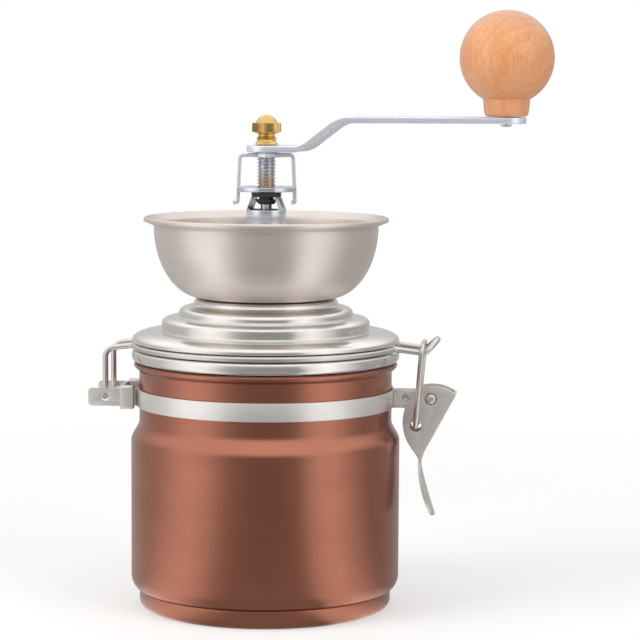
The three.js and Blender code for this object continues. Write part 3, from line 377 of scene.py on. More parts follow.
def shank_bar(name, flats, edge, length, height, bevel=0.12, steps=5):
    """A square bar on the spindle's axis, turned as its shank is: the shank itself, or a hole for it."""
    outline = softened(oblong(-flats / 2, -flats / 2, flats / 2, flats / 2), edge, steps)
    place = Matrix.Translation((0, 0, height)) @ Matrix.Rotation(CRANK_TURN + math.pi / 4, 4, "Z")
    return flat_plate(name, [outline], length, place, bevel)


def upright(x, y, z):
    """Lays a plate that was drawn flat into the upright plane across Y."""
    return Matrix.Translation((x, y, z)) @ Matrix.Rotation(math.pi / 2, 4, "X")


# Node trees

def add(tree, kind, *values, **named):
    """Adds one node. Values go to its live inputs in order, and a name is one of its properties or inputs.
    A node given as a value is linked from its first live output, a socket is linked, anything else is set."""
    node = tree.nodes.new(kind if kind.startswith(("Geometry", "Node")) else "ShaderNode" + kind)
    for key in [key for key in named if hasattr(node, key)]:
        setattr(node, key, named.pop(key))
    pairs = list(zip([socket for socket in node.inputs if socket.enabled], values))
    pairs += [(node.inputs[key.replace("_", " ")], value) for key, value in named.items()]
    for socket, value in pairs:
        if isinstance(value, bpy.types.Node):
            value = next(output for output in value.outputs if output.enabled)
        if isinstance(value, bpy.types.NodeSocket):
            tree.links.new(value, socket)
        else:
            socket.default_value = value
    return node


def around(tree, place):
    """Lathe coordinates: distance from the upright axis, angle round it, and height, in metres."""
    x, y, height = add(tree, "SeparateXYZ", place).outputs
    squares = [add(tree, "Math", side, side, operation="MULTIPLY") for side in (x, y)]
    radius = add(tree, "Math", add(tree, "Math", *squares, operation="ADD"), operation="SQRT")
    return radius, add(tree, "Math", y, x, operation="ARCTAN2"), height


# Finishes

def linear(hex_code):
    """An sRGB hex colour as linear RGBA."""
    channels = [int(hex_code[i:i + 2], 16) / 255 for i in (1, 3, 5)]
    return (*[c / 12.92 if c <= 0.04045 else ((c + 0.055) / 1.055) ** 2.4 for c in channels], 1)


def new_finish(name):
    """An empty node material, its tree and its object coordinates."""
    material = bpy.data.materials.new(name)
    material.use_nodes = True
    tree = material.node_tree
    tree.nodes.clear()
    return material, tree, add(tree, "TexCoord").outputs["Object"]


def grain(tree, place, size_mm, detail=2, roughness=0.5):
    """Noise whose grain has a real size in millimetres along x, y and z."""
    scaled = add(tree, "Mapping", place, Scale=tuple(1 / (MM * size) for size in size_mm))
    return add(tree, "TexNoise", scaled, Scale=1.0, Detail=detail, Roughness=roughness)


def streaks(tree, fine, broad):
    """A tone from 0 to 1, more from fine scratches than from broad patches."""
    return add(tree, "Math", add(tree, "MapRange", fine, 0.3, 0.7, 0, 0.6),
               add(tree, "MapRange", broad, 0.35, 0.65, 0, 0.4), operation="ADD")


def brushed_metal(name, colour, worn, roughness, grain_mm, lathe=False, patch_mm=14, stretch=0.0, metal=1.0):
    """Metal with fine scratches, whose faint streaks of tone and gloss break the surface up. On turned work
    they run round the axis, and stretch spreads each highlight across them. Real ones are a few hundredths
    of a millimetre wide, and are drawn 0.1 to 0.4 mm wide, because finer ones wouldn't show."""
    material, tree, place = new_finish(name)
    round_place = place
    if lathe:
        radius, angle, height = around(tree, place)
        round_mm = 30
        swept = add(tree, "Math", angle, round_mm * MM, operation="MULTIPLY")
        round_place = add(tree, "CombineXYZ", radius, swept, height)
    fine = grain(tree, round_place, grain_mm, 3, 0.6)
    tone = streaks(tree, fine, grain(tree, place, (patch_mm,) * 3))
    gloss = 0.04
    stretched = {}
    if stretch:
        tangent = add(tree, "Tangent", direction_type="RADIAL", axis="Z")
        stretched = {"Tangent": tangent, "Anisotropic": stretch, "Anisotropic_Rotation": 0.25}
    shader = add(tree, "BsdfPrincipled", Metallic=metal,
                 Base_Color=add(tree, "Mix", tone, linear(worn), linear(colour), data_type="RGBA"),
                 Roughness=add(tree, "MapRange", tone, 0, 1, roughness + gloss, roughness - gloss),
                 Normal=add(tree, "Bump", Height=fine, Distance=0.0015 * MM), **stretched)
    add(tree, "OutputMaterial", shader)
    return material


def copper_lacquered_steel():
    """Stainless steel, brushed round the can, then tinted with a copper lacquer: soft sheen, deep warm brown
    in the dark, orange in the light, and a clear film that pales the edges and adds a thin sharper gloss. The
    brush marks are drawn 0.16 mm wide, coarser than real ones, so that they show."""
    material, tree, place = new_finish("copper_lacquered_brushed_steel")
    fine = grain(tree, place, (60, 60, 0.16), 3, 0.6)
    tone = streaks(tree, fine, grain(tree, place, (26, 26, 9)))
    shader = add(tree, "BsdfPrincipled", Metallic=1.0, Coat_Weight=0.3, Coat_Roughness=0.2,
                 Base_Color=add(tree, "Mix", tone, linear("#AC6C56"), linear("#B7765F"), data_type="RGBA"),
                 Roughness=add(tree, "MapRange", tone, 0, 1, 0.33, 0.28),
                 Normal=add(tree, "Bump", Height=fine, Distance=0.002 * MM))
    add(tree, "OutputMaterial", shader)
    return material


def beech():
    """Steamed beech, turned and clear lacquered: pinkish tan, soft growth bands that close into ovals where
    the ball faces away from the heart, and fine wavy dark pores that stand upright along the grain. Real
    pores are under 0.1 mm wide, and are drawn 0.3 mm wide so that they show."""
    material, tree, place = new_finish("turned_beech")
    centre = add(tree, "Mapping", place, Location=tuple(-KNOB_AT * MM))
    sway = grain(tree, centre, (11, 11, 9), 1, 0.4)
    drift = add(tree, "CombineXYZ", add(tree, "MapRange", sway, 0, 1, -2 * MM, 2 * MM),
                add(tree, "MapRange", sway, 0, 1, 1.5 * MM, -1.5 * MM))
    swayed = add(tree, "VectorMath", centre, drift, operation="ADD")
    heart = add(tree, "Mapping", swayed, Location=(26 * MM, -36 * MM, 0))
    from_heart, _, _ = around(tree, heart)
    ring_width = 2.6 * MM
    year = add(tree, "Math", add(tree, "Math", from_heart, ring_width, operation="DIVIDE"), operation="FRACT")
    late = add(tree, "Math", add(tree, "MapRange", year, 0.25, 0.92, 0, 1),
               add(tree, "MapRange", year, 0.92, 1.0, 1, 0), operation="MULTIPLY")
    patches = grain(tree, swayed, (8, 8, 22))
    fibres = grain(tree, swayed, (0.5, 0.5, 7), 3, 0.6)
    pores = grain(tree, swayed, (0.3, 0.3, 6.5))
    colour = linear("#C38353")
    layers = ((add(tree, "MapRange", patches, 0.3, 0.7, 0, 1), "#CF9566"),
              (add(tree, "Math", late, 0.4, operation="MULTIPLY"), "#BC7643"),
              (add(tree, "MapRange", fibres, 0.42, 0.7, 0, 0.45), "#B46E3C"),
              (add(tree, "MapRange", pores, 0.55, 0.68, 0, 0.42), "#935730"))
    for amount, tint in layers:
        colour = add(tree, "Mix", amount, colour, linear(tint), data_type="RGBA")
    shader = add(tree, "BsdfPrincipled", Base_Color=colour, Coat_Weight=1.0, Coat_Roughness=0.25,
                 Roughness=add(tree, "MapRange", fibres, 0.3, 0.7, 0.42, 0.52),
                 Normal=add(tree, "Bump", Height=pores, Distance=0.015 * MM))
    add(tree, "OutputMaterial", shader)
    return material


def moulded(name, colour, roughness):
    """Moulded nylon or rubber: even colour, faint pebble that keeps it matt."""
    material, tree, place = new_finish(name)
    pebble = grain(tree, place, (0.4,) * 3)
    pale = add(tree, "MapRange", pebble, 0.3, 0.7, 0, 0.25)
    shader = add(tree, "BsdfPrincipled",
                 Base_Color=add(tree, "Mix", pale, linear(colour), linear("#8A8782"), data_type="RGBA"),
                 Roughness=add(tree, "MapRange", pebble, 0.3, 0.7, roughness - 0.06, roughness + 0.08),
                 Normal=add(tree, "Bump", Height=pebble, Distance=0.02 * MM))
    add(tree, "OutputMaterial", shader)
    return material


def plated(name, colour, worn, roughness, metal):
    """Zinc plate on steel: bright and faintly blue, with cloudy patches of passivate and shallow pits.
    These are drawn 0.5 mm wide, because real ones are too fine to show."""
    material, tree, place = new_finish(name)
    cloud = grain(tree, place, (3.2,) * 3, 3, 0.55)
    pits = grain(tree, place, (0.5,) * 3)
    thick = add(tree, "MapRange", cloud, 0.35, 0.65, 0, 1)
    shader = add(tree, "BsdfPrincipled", Metallic=metal,
                 Base_Color=add(tree, "Mix", thick, linear(worn), linear(colour), data_type="RGBA"),
                 Roughness=add(tree, "MapRange", cloud, 0.3, 0.7, roughness + 0.04, roughness - 0.03),
                 Normal=add(tree, "Bump", Height=pits, Distance=0.0008 * MM))
    add(tree, "OutputMaterial", shader)
    return material


def tan_banded_thread():
    """Turned steel, grey and bright, with a tan band low down that starts at the wheel and fades out higher
    up.
    """
    material, tree, place = new_finish("bright_turned_steel")
    cloud = grain(tree, place, (1.6,) * 3)
    _, _, height = around(tree, place)
    edge, full, gone = 0.15, 3.65, 8.15
    start = add(tree, "MapRange", height, (WHEEL_Z - edge) * MM, (WHEEL_Z + edge) * MM, 0, 1)
    fade = add(tree, "MapRange", height, (WHEEL_Z + full) * MM, (WHEEL_Z + gone) * MM, 0.7, 0)
    run = add(tree, "Math", start, fade, operation="MULTIPLY")
    tan_band = add(tree, "Math", run, add(tree, "MapRange", cloud, 0.3, 0.6, 0.6, 1), operation="MULTIPLY")
    bright = add(tree, "MapRange", cloud, 0.35, 0.65, 0, 1)
    steel = add(tree, "Mix", bright, linear("#BFC1C8"), linear("#E0E2E8"), data_type="RGBA")
    shader = add(tree, "BsdfPrincipled", Metallic=1.0,
                 Base_Color=add(tree, "Mix", tan_band, steel, linear("#D8B08C"), data_type="RGBA"),
                 Roughness=add(tree, "MapRange", cloud, 0.3, 0.7, 0.3, 0.2))
    add(tree, "OutputMaterial", shader)
    return material


def cast_metal():
    """Die-cast zinc, as cast: grey and grainy with soft flow marks."""
    material, tree, place = new_finish("die_cast_zinc")
    grit = grain(tree, place, (0.5,) * 3, 4, 0.6)
    flow = grain(tree, place, (7, 7, 4))
    tone = add(tree, "Math", add(tree, "MapRange", grit, 0.3, 0.7, 0, 0.5),
               add(tree, "MapRange", flow, 0.3, 0.7, 0, 0.5), operation="ADD")
    shader = add(tree, "BsdfPrincipled", Metallic=1.0,
                 Base_Color=add(tree, "Mix", tone, linear("#7F8083"), linear("#A9AAAD"), data_type="RGBA"),
                 Roughness=add(tree, "MapRange", tone, 0, 1, 0.62, 0.46),
                 Normal=add(tree, "Bump", Height=grit, Distance=0.03 * MM))
    add(tree, "OutputMaterial", shader)
    return material


COPPER = copper_lacquered_steel()
# Lid and bowl are spun and polished on a lathe, so their scratches run round the axis
SPUN_STEEL = brushed_metal("spun_stainless_steel", "#F0EDEA", "#E2DEDA", 0.2, (0.22, 30, 0.22), lathe=True,
                           stretch=0.45)
BOWL_STEEL = brushed_metal("satin_spun_stainless_steel", "#ECE1DA", "#DDD2CA", 0.42, (0.2, 30, 0.2),
                           lathe=True, stretch=0.7, metal=0.92)
# The band is cut from bright rolled strip, brushed along its length
STRIP_STEEL = brushed_metal("rolled_stainless_strip", "#F0EDEA", "#E5E1DE", 0.47, (40, 40, 0.12), stretch=0.7,
                            metal=0.94)
# Pressings keep a fine tumbled satin with no direction, milky enough to scatter part of the light
PRESSED_STEEL = brushed_metal("tumbled_pressed_stainless", "#E4DEDA", "#D4CEC9", 0.44, (0.35,) * 3,
                              patch_mm=5, metal=0.84)
# Wire is drawn through a die, so it is softly bright with a small even mottle
DRAWN_WIRE = brushed_metal("drawn_stainless_wire", "#E4E0DC", "#D5D0CB", 0.34, (0.4,) * 3, patch_mm=6)
# Arm, bracket, burr washer and burr nut carry a milky passivate that scatters light, and the other plated
# pieces, over a smoother ground, mirror it
ZINC = plated("bright_zinc_plate", "#EAEEF6", "#E2E6EE", 0.33, 0.76)
SMOOTH_ZINC = plated("bright_zinc_on_polished_steel", "#E2E6EE", "#D8DCE5", 0.21, 0.97)
BRIGHT_THREAD = tan_banded_thread()
# The pivot has only a thin brass wash, so its steel greys the yellow
PIVOT_BRASS = brushed_metal("brass_washed_pivot", "#E2DAC8", "#CBBFA2", 0.36, (0.3,) * 3,
                            patch_mm=2, metal=0.9)
# The nut is solid brass with fine rings from the turning tool, warm yellow and darker where it was handled
BRASS = brushed_metal("turned_brass", "#EACB8A", "#CFA95F", 0.24, (0.1, 6, 0.1), lathe=True, patch_mm=3)
# The burrs are ground after hardening: mid grey, with rings from the wheel
GROUND_STEEL = brushed_metal("ground_burr_steel", "#9A9A9E", "#838388", 0.36, (0.3, 10, 0.3), lathe=True,
                             patch_mm=3)
CAST_ZINC = cast_metal()
BEECH = beech()
NYLON = moulded("black_moulded_nylon", "#24221F", 0.5)
SILICONE = moulded("pale_moulded_silicone", "#E4E1DA", 0.6)


def finish(piece, body, replaced, material):
    """Gives a finished piece its material, its body and the construction nodes it stands for."""
    piece.data.materials.clear()
    piece.data.materials.append(material)
    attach(piece, body)
    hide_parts(*replaced)


# Canister

def canister():
    """A drawn can with a soft shoulder and a flared mouth, and the pressed foot below it."""
    swell = BODY_R - NECK_R
    corner_r, corner_z = BODY_R - FOOT_R, CORNER_Z - SHELL_Z
    steps = 20

    def shoulder(radius):
        return [(radius - swell * (1 - math.cos(math.pi * i / steps)) / 2,
                 SHOULDER_Z + (NECK_Z - SHOULDER_Z) * i / steps) for i in range(steps + 1)]

    outside = arc(FOOT_R, CORNER_Z, corner_r, corner_z, -90, 0, 14) + shoulder(BODY_R)
    flare = flowing([(NECK_R, FLARE_Z - 0.4), (NECK_R + 0.15, FLARE_Z + 0.3), (NECK_R + 0.9, FLARE_Z + 1.0),
                     (FLANGE_R - 0.35, FLARE_Z + 1.8), (FLANGE_R, FLARE_Z + 2.5),
                     (FLANGE_R - 0.25, MOUTH_Z - 0.35), (FLANGE_R - 1.1, MOUTH_Z)], 5)
    wall = [(NECK_R - SHEET, MOUTH_Z - 0.2), *reversed(shoulder(BODY_R - SHEET)),
            *reversed(arc(FOOT_R - SHEET, CORNER_Z, corner_r, corner_z, -90, 0, 8))]
    wall[-1] = (FOOT_R - SHEET, SHELL_Z)
    shell = turned("canister_can", outside + flare + wall)
    finish(shell, "canister", ["canister_shell"], COPPER)

    edge = 0.7
    seam = SHELL_Z - HAIRLINE
    base = turned("canister_foot", [
        (0, 0), *arc(FOOT_R - FOOT_ROUND, FOOT_ROUND, FOOT_ROUND, FOOT_ROUND, -90, 0, 10),
        *arc(FOOT_R - edge, seam - edge, edge, edge, 0, 90, 6),
        (FOOT_R - SHEET, seam), (FOOT_R - SHEET, FOOT_ROUND), (FOOT_R - FOOT_ROUND, SHEET), (0, SHEET)])
    finish(base, "canister", ["canister_base"], COPPER)


def ear_bend(ear_y, radius, bend):
    """Where a strap of a given radius turns out into a straight ear: the bend, from the ear to the ring."""
    centre = Vector((math.sqrt((radius + bend) ** 2 - (ear_y + bend) ** 2), ear_y + bend))
    first, last = 1.5 * math.pi, math.pi + math.atan2(centre.y, centre.x)
    steps = 8
    turns = [first + (last - first) * i / steps for i in range(steps + 1)]
    return [(centre.x + bend * math.cos(a), centre.y + bend * math.sin(a)) for a in turns]


def across_ears(piece, x):
    """Lays an upright turned piece across the latch's ears."""
    piece.data.transform(upright(x * MM, 0, LATCH_Z * MM))
    return piece


def band(name, side):
    """Half of the strap: round the neck, then a bend into a straight ear at the latch and at the hinge."""
    middle = BAND_SHEET / 2
    radius = BAND_R + middle
    latch = ear_bend(-LATCH_EAR + middle, radius, 1.8)
    hinge_end = [(-x, y) for x, y in reversed(ear_bend(HINGE_EAR + middle, radius, 1.3))]
    first = math.atan2(latch[-1][1], latch[-1][0])
    last = math.atan2(hinge_end[0][1], hinge_end[0][0])
    steps = 72
    turns = [first + (last - first) * i / steps for i in range(1, steps)]
    ring = [(radius * math.cos(a), radius * math.sin(a)) for a in turns]
    path = [(EAR_END, latch[0][1]), *latch, *ring, *hinge_end, (-HINGE_EAR_END, hinge_end[-1][1])]
    line = [Vector((x, side * y, BAND_Z)) for x, y in path]
    builder = bmesh.new()
    sweep(builder, line, bar_section(BAND_SHEET, 2 * BAND_HALF, 0.2))
    strap = piece_from("band_strap_" + name, builder)
    for x, hole in ((LATCH_X, 1.6), (EAR_RIVET_X, 1.85)):
        carved(strap, across_ears(drill(hole, -20, 20), x))
    finish(strap, "canister", ["band_" + name], STRIP_STEEL)


def rivet(name, x, head, inside, node, material):
    """A shank with a thicker spacer between the ears and two domed heads outside them."""
    shank, spacer_r, spacer_half, dome_rise = 1.3, 2.1, 2.5, 0.8
    dome = arc(0, inside, head, dome_rise, 0, 90, 8)
    half = [*reversed(dome), (shank, inside - 0.02), (shank, spacer_half), (spacer_r, spacer_half)]
    profile = half + [(r, -y) for r, y in reversed(half)]
    body = across_ears(turned(name, profile, 40), x)
    finish(body, "canister", [node], material)


def hinge():
    """A pressed U: two plates with rounded ends joined by a web behind the clips."""
    corners = [(-PLATE_START, -BAND_HALF), (-PLATE_START, BAND_HALF), (-PLATE_END, BAND_HALF),
               (-PLATE_END, -BAND_HALF)]
    outline = softened(corners, [0, 0, 1.5, 1.5], 8)
    hole = circle(1.5, 32, (HINGE_X, 0))
    plates = []
    for side in (-1, 1):
        y = side * (PLATE_IN + PLATE_OUT) / 2
        plates.append(flat_plate("hinge_plate", [outline, hole], WEB_SHEET, upright(0, y, BAND_Z)))
    builder = bmesh.new()
    web_x = span("hinge_clip_front")[0].x - FIT
    overlap = 0.2
    box_part(builder, (web_x - WEB_SHEET, -PLATE_IN - overlap, BAND_Z - BAND_HALF),
             (web_x, PLATE_IN + overlap, BAND_Z + BAND_HALF))
    plates.append(piece_from("hinge_web", builder))
    finish(join("hinge_yoke", plates), "canister", ["hinge_bracket"], PRESSED_STEEL)

    wall = 0.7
    for side in ("front", "rear"):
        low, high = span("hinge_clip_" + side)
        outer = softened(oblong(low.y, low.z, high.y, high.z), 0.9)
        inner = softened(oblong(low.y + wall, low.z + wall, high.y - wall, high.z - wall), 0.35)
        turn = Matrix(((0, 0, 1, (low.x + high.x) / 2), (1, 0, 0, 0), (0, 1, 0, 0), (0, 0, 0, 1)))
        clip = flat_plate("clip_sleeve_" + side, [outer, inner], high.x - low.x, turn, 0.15)
        finish(clip, "canister", ["hinge_clip_" + side], PRESSED_STEEL)


# Latch

LEVER_TOP = [(-2.55, 4.5), (1.2, 4.75), (4.8, 4.2), (7.4, 3.05), (9.45, 1.9)]
LEVER_BACK = [(-4.1, -23.0), (-5.5, -20.7), (-7.5, -17.9), (-9.5, -14), (-10.35, -8.7), (-9.3, -2.8),
              (-6.2, 1.6), (-2.55, 4.5)]
LEVER_FOOT = (-3.4, -22)


def lever():
    """Two cheeks folded back from a web, drawn together below into a neck and a cupped thumb tab."""
    outline = flowing(LEVER_TOP) + [LEVER_FOOT] + flowing(LEVER_BACK)[:-1]
    pivot = circle(2.1, 32)
    hole = circle(2.1, 32, (BAIL_HOLE_X - LATCH_X, BAIL_HOLE_Z - LATCH_Z), 1.95)
    parts = []
    for side in (-1, 1):
        place = upright(LATCH_X, side * (LEVER_OUT - LEVER_SHEET / 2), LATCH_Z)
        parts.append(flat_plate("lever_cheek", [outline, pivot, hole], LEVER_SHEET, place, 0.2))
    top, bottom = Vector(LEVER_TOP[-1]), Vector(LEVER_FOOT)
    along = (bottom - top).normalized()
    inset = Vector((along.y, -along.x)) * (LEVER_SHEET / 2)
    start, end = top + along * 0.3 + inset, bottom + inset
    line = [Vector((LATCH_X + p.x, 0, LATCH_Z + p.y)) for p in (start, (start + end) / 2, end)]
    builder = bmesh.new()
    sweep(builder, line, bar_section(2 * LEVER_OUT - 0.4, LEVER_SHEET, 0.2))
    parts.append(piece_from("lever_web", builder))
    parts.append(thumb_tab())
    finish(join("latch_lever_pressing", parts), "lever", ["latch_lever"], PRESSED_STEEL)


def thumb_tab():
    """A cupped tongue: its line, half-width and cup depth pass smoothly from the neck to the tip."""
    spine = flowing([(-2.9, -20.5), (-3.9, -24), (-3.2, -28.5), (-2, -33), (-0.4, -38.5), (0.9, -42.6),
                     (1.3, -43.8)])
    widths = flowing([(width, 0) for width in (3.2, 3.4, 5, 6.2, 6.4, 4.8, 2.2)])
    cups = flowing([(depth, 0) for depth in (0.0, 0.2, 0.7, 1.0, 0.9, 0.5, 0.1)])
    across_steps = 14
    last = len(spine) - 1
    builder = bmesh.new()
    layers = []
    for face in (-1, 1):
        rows = []
        for i, (x, z) in enumerate(spine):
            along = (Vector(spine[min(i + 1, last)]) - Vector(spine[max(i - 1, 0)])).normalized()
            out = Vector((-along.y, along.x))
            if out.x < 0:
                out = -out
            row = []
            for j in range(across_steps + 1):
                share = 2 * j / across_steps - 1
                depth = face * LEVER_SHEET / 2 - cups[i][0] * share * share
                row.append(builder.verts.new((LATCH_X + x + out.x * depth, widths[i][0] * share,
                                              LATCH_Z + z + out.y * depth)))
            rows.append(row)
        layers.append(rows)
    back, front = layers
    for i in range(last):
        for j in range(across_steps):
            builder.faces.new((back[i][j], back[i][j + 1], back[i + 1][j + 1], back[i + 1][j]))
            builder.faces.new((front[i][j], front[i + 1][j], front[i + 1][j + 1], front[i][j + 1]))
        builder.faces.new((back[i][0], back[i + 1][0], front[i + 1][0], front[i][0]))
        builder.faces.new((back[i][-1], front[i][-1], front[i + 1][-1], back[i + 1][-1]))
    for j in range(across_steps):
        builder.faces.new((back[0][j], front[0][j], front[0][j + 1], back[0][j + 1]))
        builder.faces.new((back[last][j], back[last][j + 1], front[last][j + 1], front[last][j]))
    return piece_from("lever_tab", builder, 50)


def bail():
    """One bent wire: a top bar over the hairpin, two legs, and ends turned in through the lever's holes."""
    high = span("latch_bail")[1]
    radius = 1.0
    bar_x, top_y, bar_z = high.x - radius, high.y - radius, high.z - radius
    inner_y = LEVER_OUT + FIT
    half = rounded([(BAIL_HOLE_X, -inner_y, BAIL_HOLE_Z), (BAIL_HOLE_X, -inner_y - 2 * radius, BAIL_HOLE_Z),
                    (bar_x, -top_y, bar_z), (bar_x, 0, bar_z)], [1.4, 2.5], 8)
    finish(wire("bail_wire", mirrored(half), radius), "bail", ["latch_bail"], DRAWN_WIRE)


# Lid

def lid():
    """A spun cover: rolled rim, wire groove, domed shelf and stepped crown, closed inside by a pan."""
    groove_half = WIRE_R + FIT
    groove_r = RING_R - groove_half
    groove_z, lip_z = RING_Z - groove_half, RING_Z + groove_half
    shelf_z = lip_z + 4.0
    tread_2 = shelf_z + 5.4
    tread_3 = tread_2 + 3.9
    rim = flowing([(RIM_R - 0.8, RIM_Z), (RIM_R - 0.25, RIM_Z + 0.7), (RIM_R, RIM_Z + 1.8),
                   (RIM_R - 0.03, RIM_Z + 2.7), (RIM_R - 0.3, RIM_Z + 3.6), (RIM_R - 1.0, groove_z)])
    groove = [(groove_r + 0.3, groove_z), (groove_r, RING_Z - groove_half * 0.7),
              (groove_r, RING_Z + groove_half * 0.7), (groove_r + 0.3, lip_z)]
    dome = flowing([(RIM_R - 0.5, lip_z), (RIM_R - 0.13, lip_z + 0.35), (RIM_R - 0.1, lip_z + 0.9),
                    (RIM_R - 0.35, lip_z + 1.6), (RIM_R - 1.0, lip_z + 2.25), (RIM_R - 2.4, lip_z + 3.0),
                    (RIM_R - 4.6, lip_z + 3.6), (RIM_R - 7.5, lip_z + 4.0), (39.6, shelf_z + 0.1)])
    step_1 = flowing([(38.7, shelf_z + 0.25), (38.6, shelf_z + 0.9), (38.6, shelf_z + 3.1),
                      (38.15, shelf_z + 4.05), (37.1, shelf_z + 4.75), (35.4, shelf_z + 5.15),
                      (33.4, tread_2)])
    step_2 = flowing([(32.5, tread_2 + 0.2), (32.4, tread_2 + 0.7), (32.3, tread_2 + 1.6),
                      (31.8, tread_2 + 2.6), (30.9, tread_2 + 3.25), (29.6, tread_2 + 3.65), (28.2, tread_3)])
    collar = flowing([(27.4, tread_3 + 0.2), (26.95, tread_3 + 0.8), (26.6, tread_3 + 1.8),
                      (26.1, LID_Z - 0.3), (25.4, LID_Z)])
    top = rim + groove + dome + step_1 + step_2 + collar + [(THROAT_R, LID_Z), (THROAT_R, LID_Z - SHEET)]
    under = [(25.2, LID_Z - SHEET), (26.0, tread_3 - 0.6), (29.5, tread_3 - 0.9), (31.3, tread_2 + 1.8),
             (31.6, tread_2 - 0.6), (36.5, tread_2 - 1.0), (37.8, shelf_z + 2.5), (37.8, shelf_z - 0.7),
             (44.0, shelf_z - 1.2), (46.4, lip_z + 1.5), (groove_r - SHEET, lip_z - 0.2),
             (groove_r - SHEET, groove_z - SHEET), (RIM_R - SHEET, groove_z - SHEET),
             (RIM_R - SHEET, RIM_Z + 1.5), (RIM_R - 1.0, RIM_Z)]
    cover = turned("lid_cover_spinning", top + under, smooth_angle=40)
    finish(cover, "lid", ["lid_cover"], SPUN_STEEL)

    low, high = span("lid_liner")
    liner = turned("lid_inner_plate", oblong(19.8, low.z, high.x, high.z))
    finish(liner, "lid", ["lid_liner"], SPUN_STEEL)

    low, high = span("gasket")
    inner, lip = 43.8, 0.5
    seal = turned("lid_seal", [
        (inner + lip, low.z), *arc(inner + lip, low.z + lip, lip, lip, -90, -180, 4), (inner, high.z),
        (high.x, high.z), *arc(high.x - lip, low.z + lip, lip, lip, 0, -90, 4)])
    finish(seal, "lid", ["gasket"], SILICONE)


def lid_wire():
    """One bent wire: hinge pins, uprights, a turn round the lid in its groove, and an upturned hairpin."""
    def on_ring(y):
        return math.sqrt(RING_R ** 2 - y ** 2)

    start = Vector((HINGE_X, -PLATE_OUT + 0.55, BAND_Z))
    foot = Vector((HINGE_X, -HINGE_WIRE_Y, BAND_Z))
    knee = Vector((HINGE_X, -HINGE_WIRE_Y, RING_Z - 1.3))
    hinge_corner = Vector((-on_ring(HINGE_WIRE_Y), -HINGE_WIRE_Y, RING_Z))
    loop_corner = Vector((on_ring(LOOP_WIRE_Y), -LOOP_WIRE_Y, RING_Z))
    first = math.pi + math.asin(HINGE_WIRE_Y / RING_R)
    last = 2 * math.pi - math.asin(LOOP_WIRE_Y / RING_R)
    loop_foot = Vector((LOOP_X, -LOOP_WIRE_Y, RING_Z - LOOP_DROP))
    rise = Vector((math.cos(math.radians(45)), 0, math.sin(math.radians(45))))
    eye = loop_foot + rise * 1.2
    after = hinge_corner + Vector((-math.sin(first), math.cos(first), 0)) * 4
    before = loop_corner - Vector((-math.sin(last), math.cos(last), 0)) * 4
    run_in = rounded([start, foot, knee, hinge_corner, after], [1.15, 3.6, 2.2], 8)[:-1]
    run_out = rounded([before, loop_corner, loop_foot, eye], [2.2, 2.2], 8)[1:]
    clear = 2.6 / RING_R
    steps = 90
    turns = [first + clear + (last - first - 2 * clear) * i / steps for i in range(steps + 1)]
    ring = [Vector((RING_R * math.cos(a), RING_R * math.sin(a), RING_Z)) for a in turns]
    turn_steps, eye_length = 14, 4.9
    eye_loop = []
    for i in range(1, turn_steps + 1):
        angle = math.pi / 2 * i / turn_steps
        point = eye + rise * (eye_length * math.sin(angle))
        point.y = -LOOP_WIRE_Y * math.cos(angle)
        eye_loop.append(point)
    half = run_in + ring + run_out + eye_loop
    finish(wire("lid_hoop_wire", mirrored(half), WIRE_R), "lid", ["lid_wire"], DRAWN_WIRE)


# Hopper

def bowl():
    """A spun bowl with a flared, rolled lip, open at the bottom into the mill's throat."""
    foot_r, belly_r, rise = 24.0, 41.6, 26.5
    top = BOWL_Z + rise
    outside = arc(foot_r, top, belly_r - foot_r, rise, -90, 0, 40)
    lip = flowing([(belly_r, top), (belly_r + 0.35, top + 0.35), (belly_r + 1.5, top + 0.85),
                   (LIP_R - 0.9, top + 1.45), (LIP_R - 0.15, top + 1.8), (LIP_R, top + 2.3),
                   (LIP_R - 0.15, BOWL_RIM_Z - 0.35), (LIP_R - 0.8, BOWL_RIM_Z),
                   (LIP_R - 1.5, BOWL_RIM_Z - 0.4), (belly_r + 0.9, top + 1.75), (belly_r - 0.4, top + 1.1),
                   (belly_r - SHEET, top)], 5)
    inside = arc(foot_r, top, belly_r - foot_r - SHEET, rise - SHEET, 0, -90, 32)
    hole = [(THROAT_R, BOWL_Z + SHEET), (THROAT_R, BOWL_Z)]
    hopper = turned("hopper_bowl_spinning", outside + lip[1:] + inside[1:] + hole, 224, smooth_angle=40)
    finish(hopper, "lid", ["hopper_bowl"], BOWL_STEEL)


